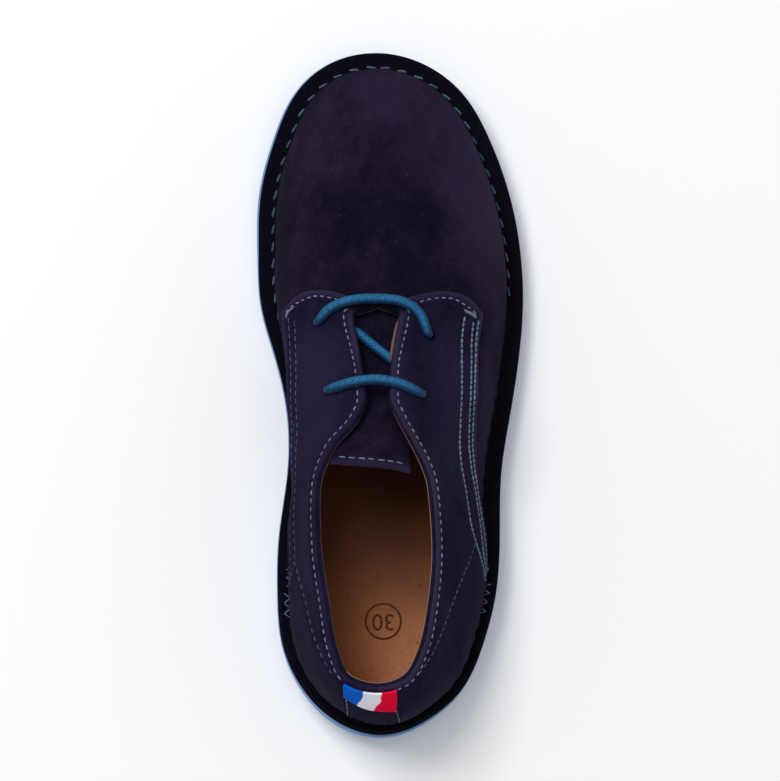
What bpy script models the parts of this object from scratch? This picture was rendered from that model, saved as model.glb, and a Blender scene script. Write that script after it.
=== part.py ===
"""Derby shoe for the right foot, child's size 30, stitched down: the suede upper's edge is turned
outward and sewn to the rubber sole. Units are metres, +Z is up, +Y runs to the toe and +X to the
outer side. The shoe stands on Z = 0, with the middle of its box at X = Y = 0."""

import math
from collections import namedtuple

import bmesh
import bpy
import numpy as np
from mathutils import Vector

MM = 0.001
INNER, OUTER = -1, 1

# Driving sizes, in millimetres.
FLANGE = 5.6  # from the edge of the turned-out flange to the crease at the wall's foot
WALL = 1.3  # thickness of the vamp and of the layer under the quarters
QUARTER = 1.3  # thickness of the quarters
STRAP = 1.0
GAP = 0.35  # between pieces that lie on each other
OVERLAY_GAP = 0.45  # under the quarters, whose facets bridge the upper's
INSOLE = 2.0
INSOLE_CLEARANCE = 1.0
SOLE_BAND = 4.5  # height of the proud band along the top of the sole's side
SOLE_INSET = 0.6  # how far the side below the band is set back
SOLE_ROUND = 1.5
TONGUE_WALL = 1.5
LACE_RADIUS = 1.4
EYELET_RADIUS = 2.3
RIBBON = 0.8
STRAP_HALF = 0.040  # the back strap's half width, along the edge
STRAP_BOTTOM, STRAP_TOP = 0.46, 0.99  # its ends, as shares of the section
RIBBON_HALF = 0.036
RIBBON_BOTTOM, RIBBON_TOP = 0.80, 0.95
RIBBON_SLANT = 0.04
BACK_SHIFT = 0.018  # how far the strap and its ribbon lie to the inner side of the seam
COLUMNS = 44  # steps along each side, from the toe tip to the heel tip

# The flange's edge. One row for each station along the shoe.
Edge = namedtuple("Edge", "y inner outer")
EDGE = (
    Edge(101.5, -20.5, 13.0),
    Edge(93.5, -29.0, 23.0),
    Edge(80.0, -35.3, 31.1),
    Edge(62.0, -39.9, 37.6),
    Edge(44.0, -40.5, 40.9),
    Edge(28.0, -39.7, 41.6),
    Edge(12.0, -35.4, 40.3),
    Edge(-6.0, -31.5, 37.5),
    Edge(-25.0, -31.3, 34.5),
    Edge(-45.0, -33.9, 33.9),
    Edge(-63.0, -34.3, 32.5),
    Edge(-78.0, -32.8, 28.6),
    Edge(-91.0, -27.0, 22.6),
    Edge(-100.0, -18.5, 13.0),
)
TOE_TIP = (-3.5, 106.0)
HEEL_TIP = (-2.4, -105.6)

# The sole's side view: its ground face, with toe spring and arch, and its top.
Level = namedtuple("Level", "y ground top")
LEVELS = (
    Level(-106.0, 0.0, 16.6),
    Level(-80.0, 0.0, 16.4),
    Level(-45.0, 0.0, 15.6),
    Level(-32.0, 2.2, 14.8),
    Level(-14.0, 3.6, 13.4),
    Level(6.0, 2.2, 11.6),
    Level(20.0, 0.0, 10.8),
    Level(40.0, 0.0, 10.4),
    Level(60.0, 0.0, 10.6),
    Level(80.0, 2.0, 12.0),
    Level(95.0, 4.6, 14.0),
    Level(106.0, 7.0, 15.8),
)

# The upper. One row for each section. `at` is its place along the edge, 0 at the toe tip and 1 at
# the heel tip. It ends at y and `height`, `half` to each side of `middle`: on the vamp's ridge, the
# facing or the collar. The wall leaves the crease tilted outward by `lean` degrees and reaches its
# end at `fall` degrees under the horizontal, each with an inner and an outer value. `rise` and
# `reach` are the lengths of the curve's two handles, as shares of the section's height and span.
Section = namedtuple(
    "Section", "at y middle half height lean_inner lean_outer fall_inner fall_outer rise reach"
)
SECTIONS = (
    Section(0.00, 70.0, -3.2, 0.0, 39.0, 4, 4, 17, 17, 0.62, 0.50),
    Section(0.12, 66.0, -3.2, 0.0, 40.4, 5, 5, 13, 13, 0.60, 0.50),
    Section(0.22, 56.0, -3.4, 0.0, 43.6, 6, 6, 7, 7, 0.58, 0.50),
    Section(0.32, 41.0, -3.9, 0.0, 48.6, 8, 6, 3, 3, 0.55, 0.50),
    Section(0.41, 21.2, -4.5, 0.0, 55.0, 14, 4, 3, 3, 0.50, 0.50),
    Section(0.43, 19.0, -5.2, 6.9, 55.2, 16, 3, 14, 12, 0.50, 0.44),
    Section(0.48, 6.5, -5.5, 4.9, 60.4, 24, 0, 18, 14, 0.48, 0.42),
    Section(0.54, -8.0, -5.2, 3.7, 66.6, 28, 0, 22, 16, 0.48, 0.42),
    Section(0.56, -13.0, -5.1, 5.7, 66.2, 29, 0, 34, 26, 0.46, 0.40),
    Section(0.60, -22.0, -6.3, 12.3, 63.4, 28, 0, 58, 46, 0.42, 0.36),
    Section(0.65, -34.0, -6.1, 17.0, 60.6, 22, 0, 80, 62, 0.40, 0.34),
    Section(0.72, -50.0, -5.4, 17.6, 59.6, 12, 2, 80, 66, 0.40, 0.34),
    Section(0.80, -69.0, -4.8, 15.6, 61.4, 8, 6, 74, 66, 0.42, 0.34),
    Section(0.88, -83.0, -5.1, 12.7, 64.4, 9, 9, 66, 64, 0.44, 0.34),
    Section(0.94, -90.6, -5.5, 8.7, 66.0, 10, 10, 62, 62, 0.46, 0.34),
    Section(1.00, -93.4, -5.4, 0.0, 66.6, 10, 10, 60, 60, 0.46, 0.34),
)
# The quarters' lower edges, as a share of each section. Where it is 0 they turn out on the flange.
Hem = namedtuple("Hem", "at inner outer")
HEMS = (
    Hem(0.38, 0.48, 0.54),
    Hem(0.50, 0.47, 0.52),
    Hem(0.56, 0.45, 0.49),
    Hem(0.60, 0.42, 0.43),
    Hem(0.65, 0.33, 0.33),
    Hem(0.69, 0.22, 0.17),
    Hem(0.73, 0.08, 0.05),
    Hem(0.75, 0.0, 0.0),
)
LEAST_HEM = 0.06  # a lower hem than this turns out at once
TURNED_OUT = -0.92  # how far the quarters reach across the flange behind there
TAB_FRONT = 0.393  # where the quarters' round front ends reach, along the edge
TAB_ROUND = 0.038
QUARTER_TOP = 0.985
QUARTER_END = 0.9992  # the two quarters meet under the back strap

# The lace's holes, as places on the sections.
Eyelet = namedtuple("Eyelet", "side at v")
EYELETS = {
    "inner_rear": Eyelet(INNER, 0.530, 0.825),
    "outer_rear": Eyelet(OUTER, 0.535, 0.87),
    "inner_front": Eyelet(INNER, 0.445, 0.80),
    "outer_front": Eyelet(OUTER, 0.460, 0.85),
}
LACE_OVER, LACE_UNDER = 2.4, 2.2  # the lace's middle, above the quarter and under the wall
# Where the lace's bars lie between the facings, and the crossing under them.
REAR_BAR = ((-13.0, -3.4, 69.4), (-5.6, -2.6, 70.2), (1.4, -4.0, 69.6))
CROSSING = ((2.0, 2.0, 58.0), (-5.5, 8.8, 55.8), (-12.6, 14.6, 52.0))
FRONT_BAR = (
    (-19.5, 20.2, 58.6),
    (-13.0, 23.0, 59.2),
    (-5.0, 23.6, 59.4),
    (2.4, 22.6, 59.4),
    (8.0, 19.0, 59.6),
)

# The proud lip along the top of the sole's side.
Lip = namedtuple("Lip", "at inner outer")
LIPS = (
    Lip(0.00, 0.3, 0.3),
    Lip(0.10, 0.5, 0.1),
    Lip(0.20, 0.6, 0.1),
    Lip(0.53, 0.6, 0.1),
    Lip(0.56, 0.3, 0.1),
    Lip(0.85, 0.4, 0.2),
    Lip(0.94, 0.8, 0.6),
    Lip(1.00, 0.8, 0.8),
)

# The tongue, from under the vamp to its free end: its middle, half width, height and crown.
Fold = namedtuple("Fold", "y middle half height crown")
TONGUE = (
    Fold(-28.6, -7.4, 12.0, 69.8, 2.4),
    Fold(-23.0, -6.4, 11.0, 66.8, 4.6),
    Fold(-16.0, -5.8, 12.0, 63.2, 6.4),
    Fold(-8.0, -5.4, 14.5, 59.9, 6.0),
    Fold(2.0, -4.8, 15.0, 55.6, 4.8),
    Fold(12.0, -4.6, 15.0, 51.4, 4.6),
    Fold(20.0, -4.5, 14.0, 50.2, 3.8),
    Fold(28.0, -4.4, 12.0, 50.0, 2.8),
    Fold(36.0, -4.2, 9.0, 47.8, 1.6),
)


def rounded(u):
    """A cubic's weights at u: of its two end points, then of its slopes there."""
    return (1 + 2 * u) * (1 - u) ** 2, u * u * (3 - 2 * u), u * (1 - u) ** 2, -u * u * (1 - u)


def through(rows, name, x, level_ends=True):
    """A smooth curve through one column of a table, with no overshoot between its rows."""
    rows = sorted(rows)
    xs = np.array([row[0] for row in rows], float)
    ys = np.array([getattr(row, name) for row in rows], float)
    steps = np.diff(xs)
    secants = np.diff(ys) / steps
    before, after = secants[:-1], secants[1:]
    mean = (before * steps[1:] + after * steps[:-1]) / (steps[1:] + steps[:-1])
    limit = 3 * np.minimum(abs(before), abs(after))
    inside = np.where(before * after > 0, np.sign(mean) * np.minimum(abs(mean), limit), 0)
    first, last = (0, 0) if level_ends else (secants[0], secants[-1])
    slopes = np.concatenate([[first], inside, [last]])
    k = np.clip(np.searchsorted(xs, x, side="right") - 1, 0, len(xs) - 2)
    start, end, out, back = rounded(np.clip((x - xs[k]) / steps[k], 0, 1))
    return start * ys[k] + end * ys[k + 1] + steps[k] * (out * slopes[k] + back * slopes[k + 1])


def closed_spline(points, per_span):
    """Points along the smoothest closed curve through the given ones."""
    points = np.array(points, float)
    after = np.roll(points, -1, axis=0)
    chord = np.linalg.norm(after - points, axis=1)
    before_chord = np.roll(chord, 1)
    size = len(points)
    matrix = np.diag(2 * (chord + before_chord))
    index = np.arange(size)
    matrix[index, index - 1] += chord
    matrix[index, (index + 1) % size] += before_chord
    pull = (points - np.roll(points, 1, axis=0)) * (chord / before_chord)[:, None]
    pull += (after - points) * (before_chord / chord)[:, None]
    slope = np.linalg.solve(matrix, 3 * pull)
    start, end, out, back = rounded(np.linspace(0, 1, per_span, endpoint=False)[:, None])
    spans = [
        start * points[i]
        + end * after[i]
        + chord[i] * (out * slope[i] + back * slope[(i + 1) % size])
        for i in range(size)
    ]
    return np.concatenate(spans)


def edge_sides(per_span=40):
    """For each side, the flange's edge from toe tip to heel tip: the share of its length so far,
    the points and the inward normals."""
    outer = [(row.outer, row.y) for row in EDGE]
    inner = [(row.inner, row.y) for row in reversed(EDGE)]
    loop = closed_spline([TOE_TIP, *outer, HEEL_TIP, *inner], per_span)
    heading = np.roll(loop, -1, axis=0) - np.roll(loop, 1, axis=0)
    heading /= np.linalg.norm(heading, axis=1)[:, None]
    normals = np.stack([heading[:, 1], -heading[:, 0]], axis=1)
    heel = (len(EDGE) + 1) * per_span
    sides = {}
    for side, order in (
        (OUTER, np.arange(heel + 1)),
        (INNER, np.arange(len(loop), heel - 1, -1) % len(loop)),
    ):
        points = loop[order]
        run = np.concatenate([[0], np.cumsum(np.linalg.norm(np.diff(points, axis=0), axis=1))])
        sides[side] = run / run[-1], points, normals[order]
    return sides


SIDES = edge_sides()


def along_edge(at, side, inset):
    """The x and y of places along one side's edge, moved in by `inset`."""
    share, points, normals = SIDES[side]
    moved = points + normals * np.asarray(inset, float)
    return np.stack([np.interp(at, share, moved[:, k]) for k in (0, 1)], axis=-1)


def flange_top(y):
    return through(LEVELS, "top", y, level_ends=False) + GAP + WALL


def upper_face(at, side, v):
    """Points of the upper's outer face. v runs from -1 at the flange's edge, through 0 at the
    crease, to 1 at the end of the section. `at` and `v` are arrays of one shape."""
    at, v = np.broadcast_arrays(np.asarray(at, float), np.asarray(v, float))
    shape = at.shape
    at, v = at.ravel(), v.ravel()
    crease = along_edge(at, side, FLANGE)
    edge = along_edge(at, side, 0.0)
    flat = crease + (edge - crease) * np.clip(-v, 0, 1)[:, None]
    start = np.column_stack([crease, flange_top(crease[:, 1])])
    name = "outer" if side == OUTER else "inner"
    end = np.column_stack(
        [
            through(SECTIONS, "middle", at) + side * through(SECTIONS, "half", at, level_ends=False),
            through(SECTIONS, "y", at),
            through(SECTIONS, "height", at),
        ]
    )
    run = end[:, :2] - start[:, :2]
    reach = np.linalg.norm(run, axis=1)
    ahead = run / reach[:, None]
    rise = end[:, 2] - start[:, 2]
    lean = np.radians(through(SECTIONS, "lean_" + name, at))
    fall = np.radians(through(SECTIONS, "fall_" + name, at))
    up = rise * through(SECTIONS, "rise", at)
    back = np.hypot(reach, rise) * through(SECTIONS, "reach", at)
    first = start + np.column_stack([-ahead * (up * np.sin(lean))[:, None], up * np.cos(lean)])
    last = end - np.column_stack([ahead * (back * np.cos(fall))[:, None], back * np.sin(fall)])
    w = np.clip(v, 0, 1)[:, None]
    wall = (
        start * (1 - w) ** 3
        + first * 3 * w * (1 - w) ** 2
        + last * 3 * w * w * (1 - w)
        + end * w**3
    )
    on_flange = np.column_stack([flat, flange_top(flat[:, 1])])
    face = np.where(v[:, None] < 0, on_flange, wall)
    return face.reshape(*shape, 3)


def outward(at, side, v):
    """Unit normals of the upper's outer face."""
    small = 1e-3
    at, v = np.broadcast_arrays(np.asarray(at, float), np.asarray(v, float))
    low, high = np.clip(at - small, 0, 1), np.clip(at + small, 0, 1)
    along = upper_face(high, side, v) - upper_face(low, side, v)
    inside = np.clip(v, small, 1 - small)
    across = upper_face(at, side, inside + small) - upper_face(at, side, inside - small)
    normal = np.cross(across, along) * side
    return normal / np.linalg.norm(normal, axis=-1, keepdims=True)


def raised(at, side, v, lift):
    """The upper's outer face moved out by `lift`: up on the flange, both ways at the crease."""
    at, v = np.broadcast_arrays(np.asarray(at, float), np.asarray(v, float))
    normal = outward(at, side, v)
    flat = np.broadcast_to([0.0, 0.0, 1.0], normal.shape)
    corner = (normal + flat) / (1 + (normal * flat).sum(axis=-1, keepdims=True))
    share = v[..., None]
    move = np.where(share < 0, flat, np.where(share == 0, corner, normal))
    return upper_face(at, side, v) + move * lift


def material(name, colour, roughness):
    made = bpy.data.materials.new(name)
    made.diffuse_color = (*colour, 1)
    made.use_nodes = True
    shader = made.node_tree.nodes["Principled BSDF"]
    shader.inputs["Base Color"].default_value = (*colour, 1)
    shader.inputs["Roughness"].default_value = roughness
    return made


def add_object(name, data, collection, look=None):
    made = bpy.data.objects.new(name, data)
    collection.objects.link(made)
    if look:
        data.materials.append(look)
    return made


def grid_object(name, grids, collection, look, closed=False):
    """A mesh of quads from grids of points in millimetres, welded where they meet. Each grid's rows
    run along the shoe and its columns across, and closed grids are rings."""
    shape = bmesh.new()
    for grid in grids:
        rows, columns = grid.shape[:2]
        verts = [[shape.verts.new(point * MM) for point in row] for row in grid]
        for i in range(rows if closed else rows - 1):
            here, there = verts[i], verts[(i + 1) % rows]
            for j in range(columns - 1):
                shape.faces.new((here[j], here[j + 1], there[j + 1], there[j]))
    bmesh.ops.remove_doubles(shape, verts=shape.verts, dist=0.01 * MM)
    mesh = bpy.data.meshes.new(name)
    shape.to_mesh(mesh)
    shape.free()
    return add_object(name, mesh, collection, look)


def stacked_rings(name, rings, collection, look):
    """A closed solid through rings of points in millimetres. A ring runs down the outer side and
    back up the inner one, so its two caps are ladders from side to side."""
    shape = bmesh.new()
    verts = [[shape.verts.new(point * MM) for point in ring] for ring in rings]
    size = len(rings[0])
    for lower, upper in zip(verts, verts[1:]):
        for k in range(size):
            after = (k + 1) % size
            shape.faces.new((lower[k], lower[after], upper[after], upper[k]))
    for cap in (verts[0], verts[-1]):
        shape.faces.new((cap[0], cap[1], cap[-1]))
        shape.faces.new((cap[size // 2 - 1], cap[size // 2], cap[size // 2 + 1]))
        for k in range(1, size // 2 - 1):
            shape.faces.new((cap[k], cap[k + 1], cap[size - k - 1], cap[size - k]))
    bmesh.ops.recalc_face_normals(shape, faces=shape.faces)
    mesh = bpy.data.meshes.new(name)
    shape.to_mesh(mesh)
    shape.free()
    return add_object(name, mesh, collection, look)


def thicken(obj, thickness, offset):
    solid = obj.modifiers.new("Thickness", "SOLIDIFY")
    solid.thickness = thickness * MM
    solid.offset = offset
    solid.use_even_offset = True
    return solid


def both_sides(columns):
    """The places along the edge of a full turn: down the outer side and back up the inner one."""
    at = np.linspace(0, 1, columns + 1)
    return [(a, OUTER) for a in at[:-1]] + [(a, INNER) for a in at[:0:-1]]


def ring(inset, level, lift):
    """A ring around the shoe, `inset` from the edge and `lift` above one of the sole's levels."""
    points = []
    for at, side in both_sides(COLUMNS):
        x, y = along_edge(at, side, inset(at, side))
        station = along_edge(at, side, 0.0)[1]
        points.append((x, y, through(LEVELS, level, station, level_ends=False) + lift))
    return np.array(points)


def make_outsole(collection, look):
    def lip(at, side):
        return -through(LIPS, "outer" if side == OUTER else "inner", at)

    def below(at, side):
        return SOLE_INSET

    def rounded_edge(at, side):
        return SOLE_INSET + SOLE_ROUND

    rings = [
        ring(rounded_edge, "ground", 0.0),
        ring(below, "ground", SOLE_ROUND),
        ring(below, "top", -SOLE_BAND),
        ring(lip, "top", 0.4 - SOLE_BAND),
        ring(lip, "top", 0.0),
    ]
    return stacked_rings("outsole", rings, collection, look)


def make_insole(collection, look):
    def inside(at, side):
        return FLANGE + WALL + INSOLE_CLEARANCE

    rings = [ring(inside, "top", GAP), ring(inside, "top", GAP + INSOLE)]
    return stacked_rings("insole", rings, collection, look)


def make_upper(collection, look):
    levels = np.array([-1, 0, 0.07, 0.17, 0.28, 0.4, 0.52, 0.64, 0.76, 0.88, 1.0])
    grid = np.array([upper_face(at, side, levels) for at, side in both_sides(COLUMNS)])
    upper = grid_object("upper", [grid], collection, look, closed=True)
    thicken(upper, WALL, -1)
    return upper


def quarter_grids(side, lift, steps_along, steps_up):
    """The quarter's wall and the part of it that is turned out on the flange."""
    name = "outer" if side == OUTER else "inner"
    up = (1 - np.cos(np.linspace(0, math.pi, steps_up + 1))) / 2
    front = TAB_FRONT + TAB_ROUND * (1 - np.sqrt(1 - (2 * up - 1) ** 2))
    along = np.linspace(0, 1, steps_along + 1) ** 1.2
    at = front + along[:, None] * (QUARTER_END - front)
    hem = through(HEMS, name, at)
    hem = np.where(hem > LEAST_HEM, hem, 0)
    v = hem + up * (QUARTER_TOP - hem)
    wall = raised(at, side, v, lift)
    turned = at[hem[:, 0] == 0, 0]
    flange = raised(turned[:, None], side, np.array([TURNED_OUT, 0.0]), lift)
    if side == INNER:
        return wall[::-1], flange[::-1]
    return wall, flange


def make_quarter(name, side, collection, look):
    quarter = grid_object(name, quarter_grids(side, OVERLAY_GAP, 34, 10), collection, look)
    thicken(quarter, QUARTER, 1)
    return quarter


def back_grid(half_width, bottom, top, slant, lift, steps):
    """A patch across the back of the heel, its ends `half_width` along the edge from its middle."""
    rows = []
    for across in np.linspace(-1, 1, steps + 1):
        from_seam = BACK_SHIFT + across * half_width
        side = INNER if from_seam > 0 else OUTER
        at = 1 - abs(from_seam)
        levels = np.linspace(bottom, top, 5) + slant * across
        rows.append(raised(at, side, levels, lift))
    return np.array(rows)


def make_back_strap(collection, look):
    lift = OVERLAY_GAP + QUARTER + GAP
    grid = back_grid(STRAP_HALF, STRAP_BOTTOM, STRAP_TOP, 0.0, lift, 8)
    strap = grid_object("back_strap", [grid], collection, look)
    thicken(strap, STRAP, 1)
    return strap


def make_ribbon(collection, look):
    lift = OVERLAY_GAP + QUARTER + GAP + STRAP + GAP
    grid = back_grid(RIBBON_HALF, RIBBON_BOTTOM, RIBBON_TOP, RIBBON_SLANT, lift, 8)
    ribbon = grid_object("heel_ribbon", [grid], collection, look)
    thicken(ribbon, RIBBON, 1)
    return ribbon


def make_tongue(collection, look):
    rows = []
    for y in np.linspace(TONGUE[0].y, TONGUE[-1].y, 19):
        middle, half, height, crown = (
            through(TONGUE, name, y, level_ends=False) for name in Fold._fields[1:]
        )
        across = np.linspace(-1, 1, 9)
        rows.append(
            np.column_stack(
                [middle + half * across, np.full(9, y), height - crown * across**2]
            )
        )
    tongue = grid_object("tongue", [np.array(rows)], collection, look)
    thicken(tongue, TONGUE_WALL, -1)
    return tongue


def eyelet_line(eyelet):
    """The lace's places over, at the top of, at the foot of and under the eyelet."""
    face = upper_face(eyelet.at, eyelet.side, eyelet.v)
    normal = outward(eyelet.at, eyelet.side, eyelet.v)
    top, foot = OVERLAY_GAP + QUARTER, -WALL
    return [face + normal * lift for lift in (top + LACE_OVER, top, foot, foot - LACE_UNDER)]


def open_spline(points, per_span):
    """Points along a smooth curve through the given ones."""
    points = np.array(points, float)
    slopes = np.gradient(points, axis=0)
    u = np.linspace(0, 1, per_span, endpoint=False)[:, None]
    start, end, out, back = rounded(u)
    spans = [
        start * points[i] + end * points[i + 1] + out * slopes[i] + back * slopes[i + 1]
        for i in range(len(points) - 1)
    ]
    return np.concatenate([*spans, points[-1:]])


def lace_route():
    """The lace's middle: up at the inner rear hole, over the rear bar, under the crossing, over the
    front bar and down again, with both ends hidden under the facings."""
    route = []
    for name, over_first, bar in (
        ("inner_rear", False, REAR_BAR),
        ("outer_rear", True, CROSSING),
        ("inner_front", False, FRONT_BAR),
        ("outer_front", True, ()),
    ):
        line = eyelet_line(EYELETS[name])
        route.extend(line if over_first else line[::-1])
        route.extend(np.array(bar))
    return open_spline(route, 3)


def make_lace(collection, look):
    points = lace_route()
    curve = bpy.data.curves.new("lace", "CURVE")
    curve.dimensions = "3D"
    curve.bevel_depth = LACE_RADIUS * MM
    curve.bevel_resolution = 2
    curve.use_fill_caps = True
    spline = curve.splines.new("POLY")
    spline.points.add(len(points) - 1)
    for place, point in zip(spline.points, points):
        place.co = (*(point * MM), 1)
    return add_object("lace", curve, collection, look)


def make_eyelet_cutters(collection):
    """Pins through the eyelets, which cut the holes."""
    cutters = {}
    for name, eyelet in EYELETS.items():
        face = upper_face(eyelet.at, eyelet.side, eyelet.v)
        normal = Vector(outward(eyelet.at, eyelet.side, eyelet.v))
        shape = bmesh.new()
        bmesh.ops.create_cone(
            shape,
            cap_ends=True,
            segments=16,
            radius1=EYELET_RADIUS * MM,
            radius2=EYELET_RADIUS * MM,
            depth=8 * MM,
        )
        mesh = bpy.data.meshes.new("eyelet_cutter_" + name)
        shape.to_mesh(mesh)
        shape.free()
        cutter = add_object(mesh.name, mesh, collection)
        cutter.location = Vector(face) * MM
        cutter.rotation_mode = "QUATERNION"
        cutter.rotation_quaternion = normal.to_track_quat("Z", "Y")
        cutter.hide_render = True
        cutter.display_type = "WIRE"
        cutters[name] = cutter
    return cutters


def cut(obj, cutter):
    hole = obj.modifiers.new("Hole", "BOOLEAN")
    hole.operation = "DIFFERENCE"
    hole.solver = "EXACT"
    hole.object = cutter


def main():
    for old in list(bpy.data.objects):
        bpy.data.objects.remove(old)
    shoe = bpy.data.collections.new("derby_shoe")
    helpers = bpy.data.collections.new("cutters")
    for collection in (shoe, helpers):
        bpy.context.scene.collection.children.link(collection)
    suede = material("navy_suede", (0.012, 0.010, 0.024), 0.9)
    quarter_suede = material("navy_quarter_suede", (0.014, 0.012, 0.033), 0.9)
    make_outsole(shoe, material("blue_rubber", (0.15, 0.30, 0.60), 0.6))
    make_insole(shoe, material("tan_leather", (0.135, 0.050, 0.023), 0.5))
    upper = make_upper(shoe, suede)
    quarters = {
        OUTER: make_quarter("quarter_lateral", OUTER, shoe, quarter_suede),
        INNER: make_quarter("quarter_medial", INNER, shoe, quarter_suede),
    }
    make_tongue(shoe, suede)
    make_back_strap(shoe, quarter_suede)
    make_ribbon(shoe, material("tricolour_ribbon", (0.60, 0.58, 0.65), 0.7))
    make_lace(shoe, material("teal_lace", (0.008, 0.09, 0.19), 0.7))
    for name, cutter in make_eyelet_cutters(helpers).items():
        cut(upper, cutter)
        cut(quarters[EYELETS[name].side], cutter)


main()
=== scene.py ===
"""The looks of a child's derby shoe in navy suede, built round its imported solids. Sizes are in
millimetres. +Z is up, +Y runs to the toe and +X to the outer side of this right shoe.

A place on the upper is (at, side, v): `at` runs along one side's edge from 0 at the toe to 1 at
the heel, and v from -1 at the flange's edge, through 0 at the crease, to 1 at the rim."""

import math
import random
from collections import namedtuple

import bmesh
import bpy
import numpy as np
from mathutils import Matrix, Vector
from mathutils.bvhtree import BVHTree
from mathutils.kdtree import KDTree


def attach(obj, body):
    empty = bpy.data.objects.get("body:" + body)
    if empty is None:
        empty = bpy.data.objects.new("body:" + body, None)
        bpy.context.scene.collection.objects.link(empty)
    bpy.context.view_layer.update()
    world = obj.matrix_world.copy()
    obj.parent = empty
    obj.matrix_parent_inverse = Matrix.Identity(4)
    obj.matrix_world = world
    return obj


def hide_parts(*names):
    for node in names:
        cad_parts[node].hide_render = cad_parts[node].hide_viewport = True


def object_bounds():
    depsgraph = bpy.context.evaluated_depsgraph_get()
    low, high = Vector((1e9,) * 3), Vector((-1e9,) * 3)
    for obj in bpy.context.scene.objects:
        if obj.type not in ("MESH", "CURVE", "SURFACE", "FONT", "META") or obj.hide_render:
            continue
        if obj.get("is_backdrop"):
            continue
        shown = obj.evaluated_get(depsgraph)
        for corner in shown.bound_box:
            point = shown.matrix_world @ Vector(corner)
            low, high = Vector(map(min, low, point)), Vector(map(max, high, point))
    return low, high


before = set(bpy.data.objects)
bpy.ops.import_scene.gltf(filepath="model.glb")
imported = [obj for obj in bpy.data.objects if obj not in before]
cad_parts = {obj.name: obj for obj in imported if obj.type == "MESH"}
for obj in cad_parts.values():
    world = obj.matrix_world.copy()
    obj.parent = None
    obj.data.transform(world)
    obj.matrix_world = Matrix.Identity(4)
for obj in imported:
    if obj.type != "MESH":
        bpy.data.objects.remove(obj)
CAD_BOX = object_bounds()

MM = 0.001
INNER, OUTER = -1, 1
BOTH = (OUTER, INNER)
COLUMN = {OUTER: "outer", INNER: "inner"}
LABEL = {OUTER: "lateral", INNER: "medial"}
TAU = 2 * math.pi


def table(fields, *rows):
    """Rows whose columns have names."""
    kind = namedtuple("Row", fields)
    return [kind(*row) for row in rows]


# The solids' own sizes and tables, as in their source.
FLANGE = 5.6
WALL = 1.3
QUARTER = 1.3
GAP = 0.35
OVERLAY_GAP = 0.45
STANDING = OVERLAY_GAP + QUARTER  # how far the quarters' face stands off the upper's
PRESSED = 0.45  # how much the layers are pressed together at the rim
INSOLE = 2.0
SOLE_BAND = 4.5
SOLE_INSET = 0.6
SOLE_ROUND = 1.5
TURN = 0.745  # where the quarters start to turn out on the flange
TURNED_OUT = -0.92  # v of the turned-out edge
TAB_FRONT, TAB_ROUND = 0.393, 0.038  # where a quarter starts, and how round its front is
QUARTER_TOP = 0.985
STRAP_REACH = {OUTER: 0.022, INNER: 0.058}  # along the edge from the back seam
HOLE_RADIUS = 1.85
LACE_WIDTH = 3.1
LACE_OVER, LACE_UNDER = 1.35, 2.2

TOE_TIP, HEEL_TIP = (-3.5, 106.0), (-2.4, -105.6)
EDGE = table(
    "y inner outer",
    (101.5, -20.5, 13), (93.5, -29, 23), (80, -35.3, 31.1), (62, -39.9, 37.6),
    (44, -40.5, 40.9), (28, -39.7, 41.6), (12, -35.4, 40.3), (-6, -31.5, 37.5),
    (-25, -31.3, 34.5), (-45, -33.9, 33.9), (-63, -34.3, 32.5), (-78, -32.8, 28.6),
    (-91, -27, 22.6), (-100, -18.5, 13),
)
LEVELS = table(
    "y ground top",
    (-106, 0, 16.6), (-80, 0, 16.4), (-45, 0, 15.6), (-32, 2.2, 14.8),
    (-14, 3.6, 13.4), (6, 2.2, 11.6), (20, 0, 10.8), (40, 0, 10.4),
    (60, 0, 10.6), (80, 2, 12), (95, 4.6, 14), (106, 7, 15.8),
)
SECTIONS = table(
    "at y middle half height lean_inner lean_outer fall_inner fall_outer rise reach",
    (0, 70, -3.2, 0, 39, 4, 4, 17, 17, 0.62, 0.5),
    (0.12, 66, -3.2, 0, 40.4, 5, 5, 13, 13, 0.6, 0.5),
    (0.22, 56, -3.4, 0, 43.6, 6, 6, 7, 7, 0.58, 0.5),
    (0.32, 41, -3.9, 0, 48.6, 8, 6, 3, 3, 0.55, 0.5),
    (0.41, 21.2, -4.5, 0, 55, 14, 4, 3, 3, 0.5, 0.5),
    (0.43, 19, -5.2, 6.9, 55.2, 16, 3, 14, 12, 0.5, 0.44),
    (0.48, 6.5, -5.5, 4.9, 60.4, 24, 0, 18, 14, 0.48, 0.42),
    (0.54, -8, -5.2, 3.7, 66.6, 28, 0, 22, 16, 0.48, 0.42),
    (0.56, -13, -5.1, 5.7, 66.2, 29, 0, 34, 26, 0.46, 0.4),
    (0.6, -22, -6.3, 12.3, 63.4, 28, 0, 58, 46, 0.42, 0.36),
    (0.65, -34, -6.1, 17, 60.6, 22, 0, 80, 62, 0.4, 0.34),
    (0.72, -50, -5.4, 17.6, 59.6, 12, 2, 80, 66, 0.4, 0.34),
    (0.8, -69, -4.8, 15.6, 61.4, 8, 6, 74, 66, 0.42, 0.34),
    (0.88, -83, -5.1, 12.7, 64.4, 9, 9, 66, 64, 0.44, 0.34),
    (0.94, -90.6, -5.5, 8.7, 66, 10, 10, 62, 62, 0.46, 0.34),
    (1, -93.4, -5.4, 0, 66.6, 10, 10, 60, 60, 0.46, 0.34),
)
HEMS = table(
    "at inner outer",
    (0.38, 0.48, 0.54), (0.5, 0.47, 0.52), (0.56, 0.45, 0.49), (0.6, 0.42, 0.43),
    (0.65, 0.33, 0.33), (0.69, 0.22, 0.17), (0.73, 0.08, 0.05), (0.75, 0, 0),
)
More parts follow.
